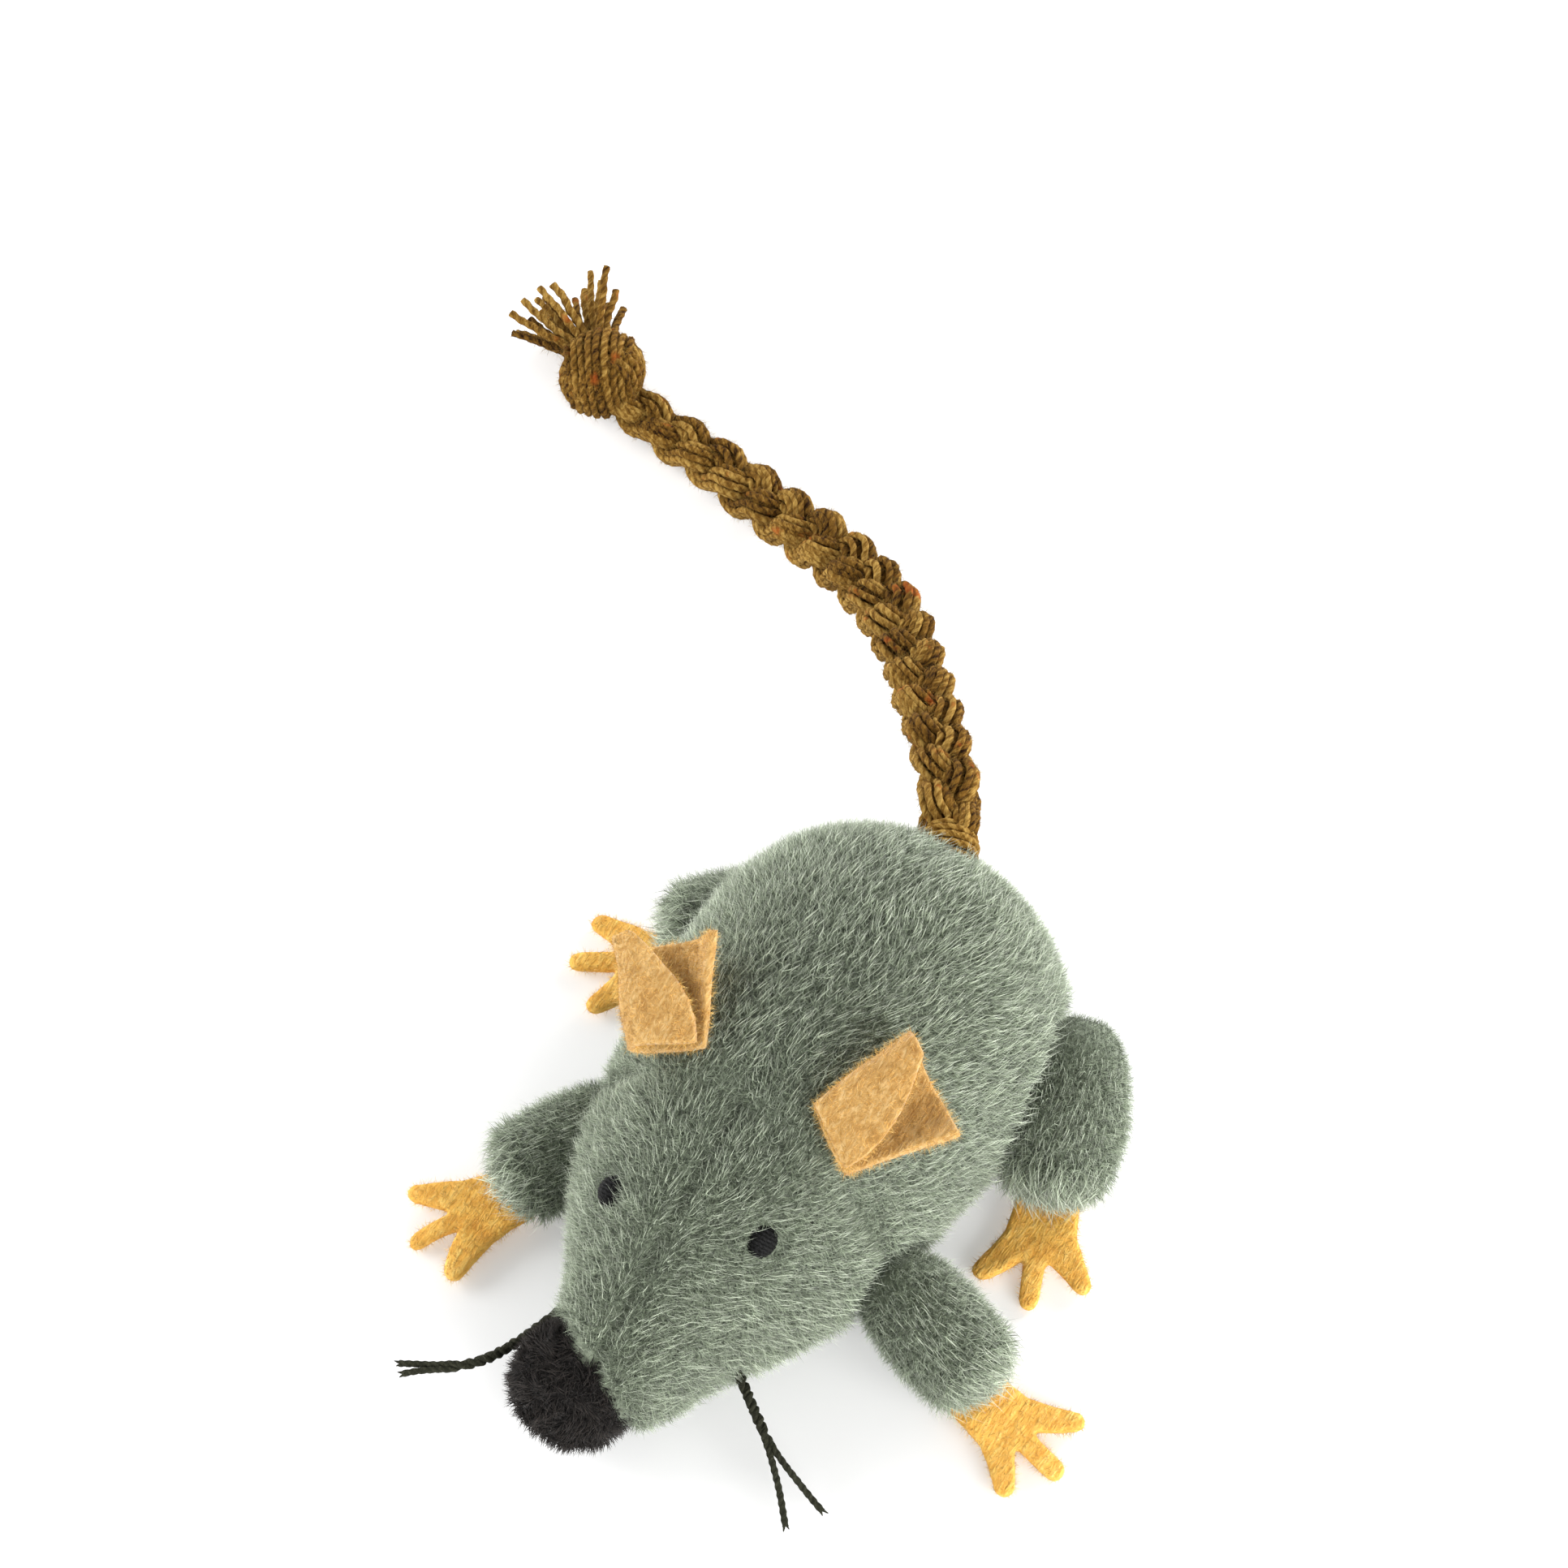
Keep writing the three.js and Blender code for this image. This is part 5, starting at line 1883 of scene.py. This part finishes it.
    def tassel(self, chance: np.random.Generator) -> bpy.types.Object:
        """Makes the loose yarn ends that fan out behind the knot.

        Args:
            chance: The source of what is random.

        Returns:
            The tassel.
        """
        middle, _, _, _ = self.knot_frame()
        aim = middle_of("tail_tassel") - middle
        aim[2] = 0
        aim = unit(aim)
        across = np.cross(aim, (0, 0, 1))
        tubes = Tubes(sides=7)
        for k in range(self.tassel_yarns):
            share = k / (self.tassel_yarns - 1) - 0.5
            fan = math.radians(self.tassel_fan * share + 7 * (chance.random() - 0.5))
            rise = math.radians((16, -6, 4, -14)[k % 4] + 8 * (chance.random() - 0.5))
            way = (aim * math.cos(fan) + across * math.sin(fan)) * math.cos(rise)
            way += np.array([0, 0, math.sin(rise)])
            start = middle + aim * 0.004 + across * share * 0.004 + np.array([0, 0, math.sin(rise) * 0.005])
            long = self.tassel_length * (0.85 + 0.3 * chance.random())
            step = np.linspace(0, 1, 34)[:, None]
            sideways = across * (chance.random() - 0.5) * 0.0026
            yarn = start + way * (step * (long + 0.002)) + sideways * step**2
            yarn += wobble(yarn, 0.003, k * 1.3) * 0.0003
            yarn[:, 2] = np.maximum(yarn[:, 2], self.yarn)
            tubes.add(yarn, self.yarn * (0.95 + 0.25 * chance.random()), self.twist, chance.random(), 0.1)
        return link("tail_tassel_yarn", tubes.mesh("tail_tassel_yarn"), Finish.WOOL.made())

    def fuzz(self, piece: bpy.types.Object, number: int) -> bpy.types.Object:
        """Grows the stray fibres of the wool on one of its pieces.

        Args:
            piece: The piece.
            number: Its number, which shifts what is random.

        Returns:
            The fibres.
        """
        skin = piece.data.copy()
        points = points_of(skin)
        skin.attributes.remove(skin.attributes["tone"])
        store(skin, "comb", unit(wobble(points, 0.003, 3.0 + number)))
        store(skin, "pile", np.clip(points[:, 2] / 0.002, 0.1, 1))
        hairs = Pile(Finish.WOOL_FUZZ, density=2.6, length=0.0011, thin=0.018, bend=0.0, lean=0.9, tuft=0.8,
                     tuft_size=0.002, stray=1.3)
        return hairs.grow(piece.name + "_fuzz", skin, 40 + number)


# Filling
@dataclass(frozen=True)
class Filling:
    """Loose stuffing or the catnip sachet, inside the cover."""

    node: str
    body: str
    finish: Finish
    slot: str
    lumps: float = 0.0003
    voxel: float = 0.0011
    limb_room: float = 0.0016

    def build(self) -> bpy.types.Object:
        """Makes the piece from its solid, finer and lumpy.

        Returns:
            The piece.
        """
        mesh = soft_copy(self.node, self.node + "_soft", self.voxel, 3)
        points = points_of(mesh)
        normal = normals_of(mesh)
        points = points - normal * np.abs(wobble(points, 0.005, 1.0)[:, :1]) * self.lumps
        if self.body == "torso":
            points = clear_limbs(points, normal, self.limb_room)
        move_points(mesh, points)
        piece = link(self.node + "_soft", mesh, self.finish.made())
        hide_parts(self.node)
        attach(piece, self.body)
        return piece


def fillings() -> list[Filling]:
    """Lists everything inside the cover and the sleeves.

    Returns:
        One entry for each piece.
    """
    made = [Filling(name, "torso", Finish.FILL, "fibre_fill") for name in ("head_stuffing", "body_stuffing")]
    made.append(Filling("catnip_sachet", "torso", Finish.LINEN, "linen", 0.0006))
    made += [Filling(limb.name + "_stuffing", limb.name, Finish.FILL, "fibre_fill") for limb in LIMBS]
    return made


# Studio
@dataclass
class Studio:
    """Camera, soft light and a pale floor."""

    eye: tuple[float, float, float] = (0.2555, -0.3822, 0.8055)
    target: tuple[float, float, float] = (-0.01645, 0.02557, 0.05074)
    focal_pixels: float = 8892.0
    image_pixels: float = 1932.0
    sensor: float = 36.0
    floor_half: float = 3.0
    floor_tone: float = 0.74
    floor_lift: float = 0.3
    horizon: float = 1.55
    zenith: float = 0.36
    looked_at: tuple[float, float, float] = (0, 0.02, 0.02)
    lamps: tuple = (
        ("key_light", (0.9, -0.35, 0.36), 0.7, 12.0),
        ("side_light", (-0.9, -0.3, 0.34), 0.7, 10.5),
        ("back_light", (0.3, 0.95, 0.34), 0.6, 12.0),
    )

    def build(self) -> None:
        """Makes the camera, the lamps, the floor and the world."""
        scene = bpy.context.scene
        scene.view_settings.view_transform = "Standard"
        camera = bpy.data.cameras.new("camera")
        camera.sensor_width = self.sensor
        camera.lens = self.sensor * self.focal_pixels / self.image_pixels
        camera.clip_start = 0.01
        placed = bpy.data.objects.new("camera", camera)
        placed.location = self.eye
        placed.rotation_euler = (Vector(self.target) - Vector(self.eye)).to_track_quat("-Z", "Y").to_euler()
        scene.collection.objects.link(placed)
        scene.camera = placed
        for lamp in self.lamps:
            self.lamp(*lamp)
        self.world()
        self.floor()

    def lamp(self, name: str, at: tuple[float, float, float], size: float, power: float) -> None:
        """Hangs one soft lamp that looks at the mouse.

        Args:
            name: Its name.
            at: Where it hangs.
            size: Its width.
            power: Its power in watts.
        """
        light = bpy.data.lights.new(name, "AREA")
        light.size = size
        light.energy = power
        placed = bpy.data.objects.new(name, light)
        placed.location = at
        placed.rotation_euler = (Vector(self.looked_at) - Vector(at)).to_track_quat("-Z", "Y").to_euler()
        bpy.context.scene.collection.objects.link(placed)

    def world(self) -> None:
        """Lights the room from all sides like a white tent, and shows white past the floor."""
        world = bpy.data.worlds.new("studio")
        world.use_nodes = True
        tree = world.node_tree
        soft = tree.nodes["Background"]
        height = tree.nodes.new("ShaderNodeSeparateXYZ")
        tree.links.new(tree.nodes.new("ShaderNodeTexCoord").outputs["Generated"], height.inputs[0])
        low, high = (self.horizon,) * 3, (self.zenith,) * 3
        tent = ramp(tree, [(0.0, low), (0.25, low), (0.8, high)])
        tree.links.new(height.outputs["Z"], tent.inputs["Fac"])
        tree.links.new(tent.outputs["Color"], soft.inputs["Color"])
        white = tree.nodes.new("ShaderNodeBackground")
        white.inputs["Color"].default_value = (1, 1, 1, 1)
        mix = tree.nodes.new("ShaderNodeMixShader")
        tree.links.new(self.seen(tree), mix.inputs[0])
        tree.links.new(soft.outputs[0], mix.inputs[1])
        tree.links.new(white.outputs[0], mix.inputs[2])
        tree.links.new(mix.outputs[0], tree.nodes["World Output"].inputs["Surface"])
        bpy.context.scene.world = world

    def floor(self) -> None:
        """Lays a pale floor that keeps the mouse's shadow."""
        size = self.floor_half
        corners = np.array([(-size, -size, 0), (size, -size, 0), (size, size, 0), (-size, size, 0)])
        material, _, shader = new_material("pale_floor")
        shader.inputs["Base Color"].default_value = (*(self.floor_tone,) * 3, 1)
        shader.inputs["Roughness"].default_value = 0.9
        shader.inputs["Emission Color"].default_value = (1, 1, 1, 1)
        shader.inputs["Emission Strength"].default_value = self.floor_lift
        floor = link("studio_floor", mesh_of("studio_floor", corners, [(0, 1, 2, 3)]), material)

    @staticmethod
    def seen(tree: bpy.types.NodeTree) -> bpy.types.NodeSocket:
        """Finds the rays that see the background.

        Args:
            tree: The node tree.

        Returns:
            A socket that is 1 for camera, glossy and transmitted rays.
        """
        path = tree.nodes.new("ShaderNodeLightPath")
        first = add_node(tree, "ShaderNodeMath", operation="MAXIMUM")
        tree.links.new(path.outputs["Is Camera Ray"], first.inputs[0])
        tree.links.new(path.outputs["Is Glossy Ray"], first.inputs[1])
        both = add_node(tree, "ShaderNodeMath", operation="MAXIMUM")
        tree.links.new(first.outputs[0], both.inputs[0])
        tree.links.new(path.outputs["Is Transmission Ray"], both.inputs[1])
        return both.outputs[0]


def main() -> None:
    """Builds the mouse piece by piece."""
    logging.basicConfig(level=logging.INFO, format="%(message)s")
    Studio().build()
    makers: list[Callable[[], object]] = [PlaitedTail().build, StuffedBody().build]
    makers += [limb.build for limb in LIMBS]
    makers += [PompomNose().build, *(eye.build for eye in EYES), *(pair.build for pair in WHISKERS)]
    makers += [felt.build for felt in felt_pieces()]
    makers += [filling.build for filling in fillings()]
    for make in makers:
        made = make()
        for piece in made if isinstance(made, list) else [made]:
            LOG.info("%s: %d faces", piece.name, len(piece.data.polygons))
    seen = [piece for piece in bpy.context.scene.objects if piece.type == "MESH" and not piece.hide_render]
    total = sum(len(polygon.vertices) - 2 for piece in seen for polygon in piece.data.polygons)
    LOG.info("%d triangles in all", total)


if __name__ == "__main__":
    main()
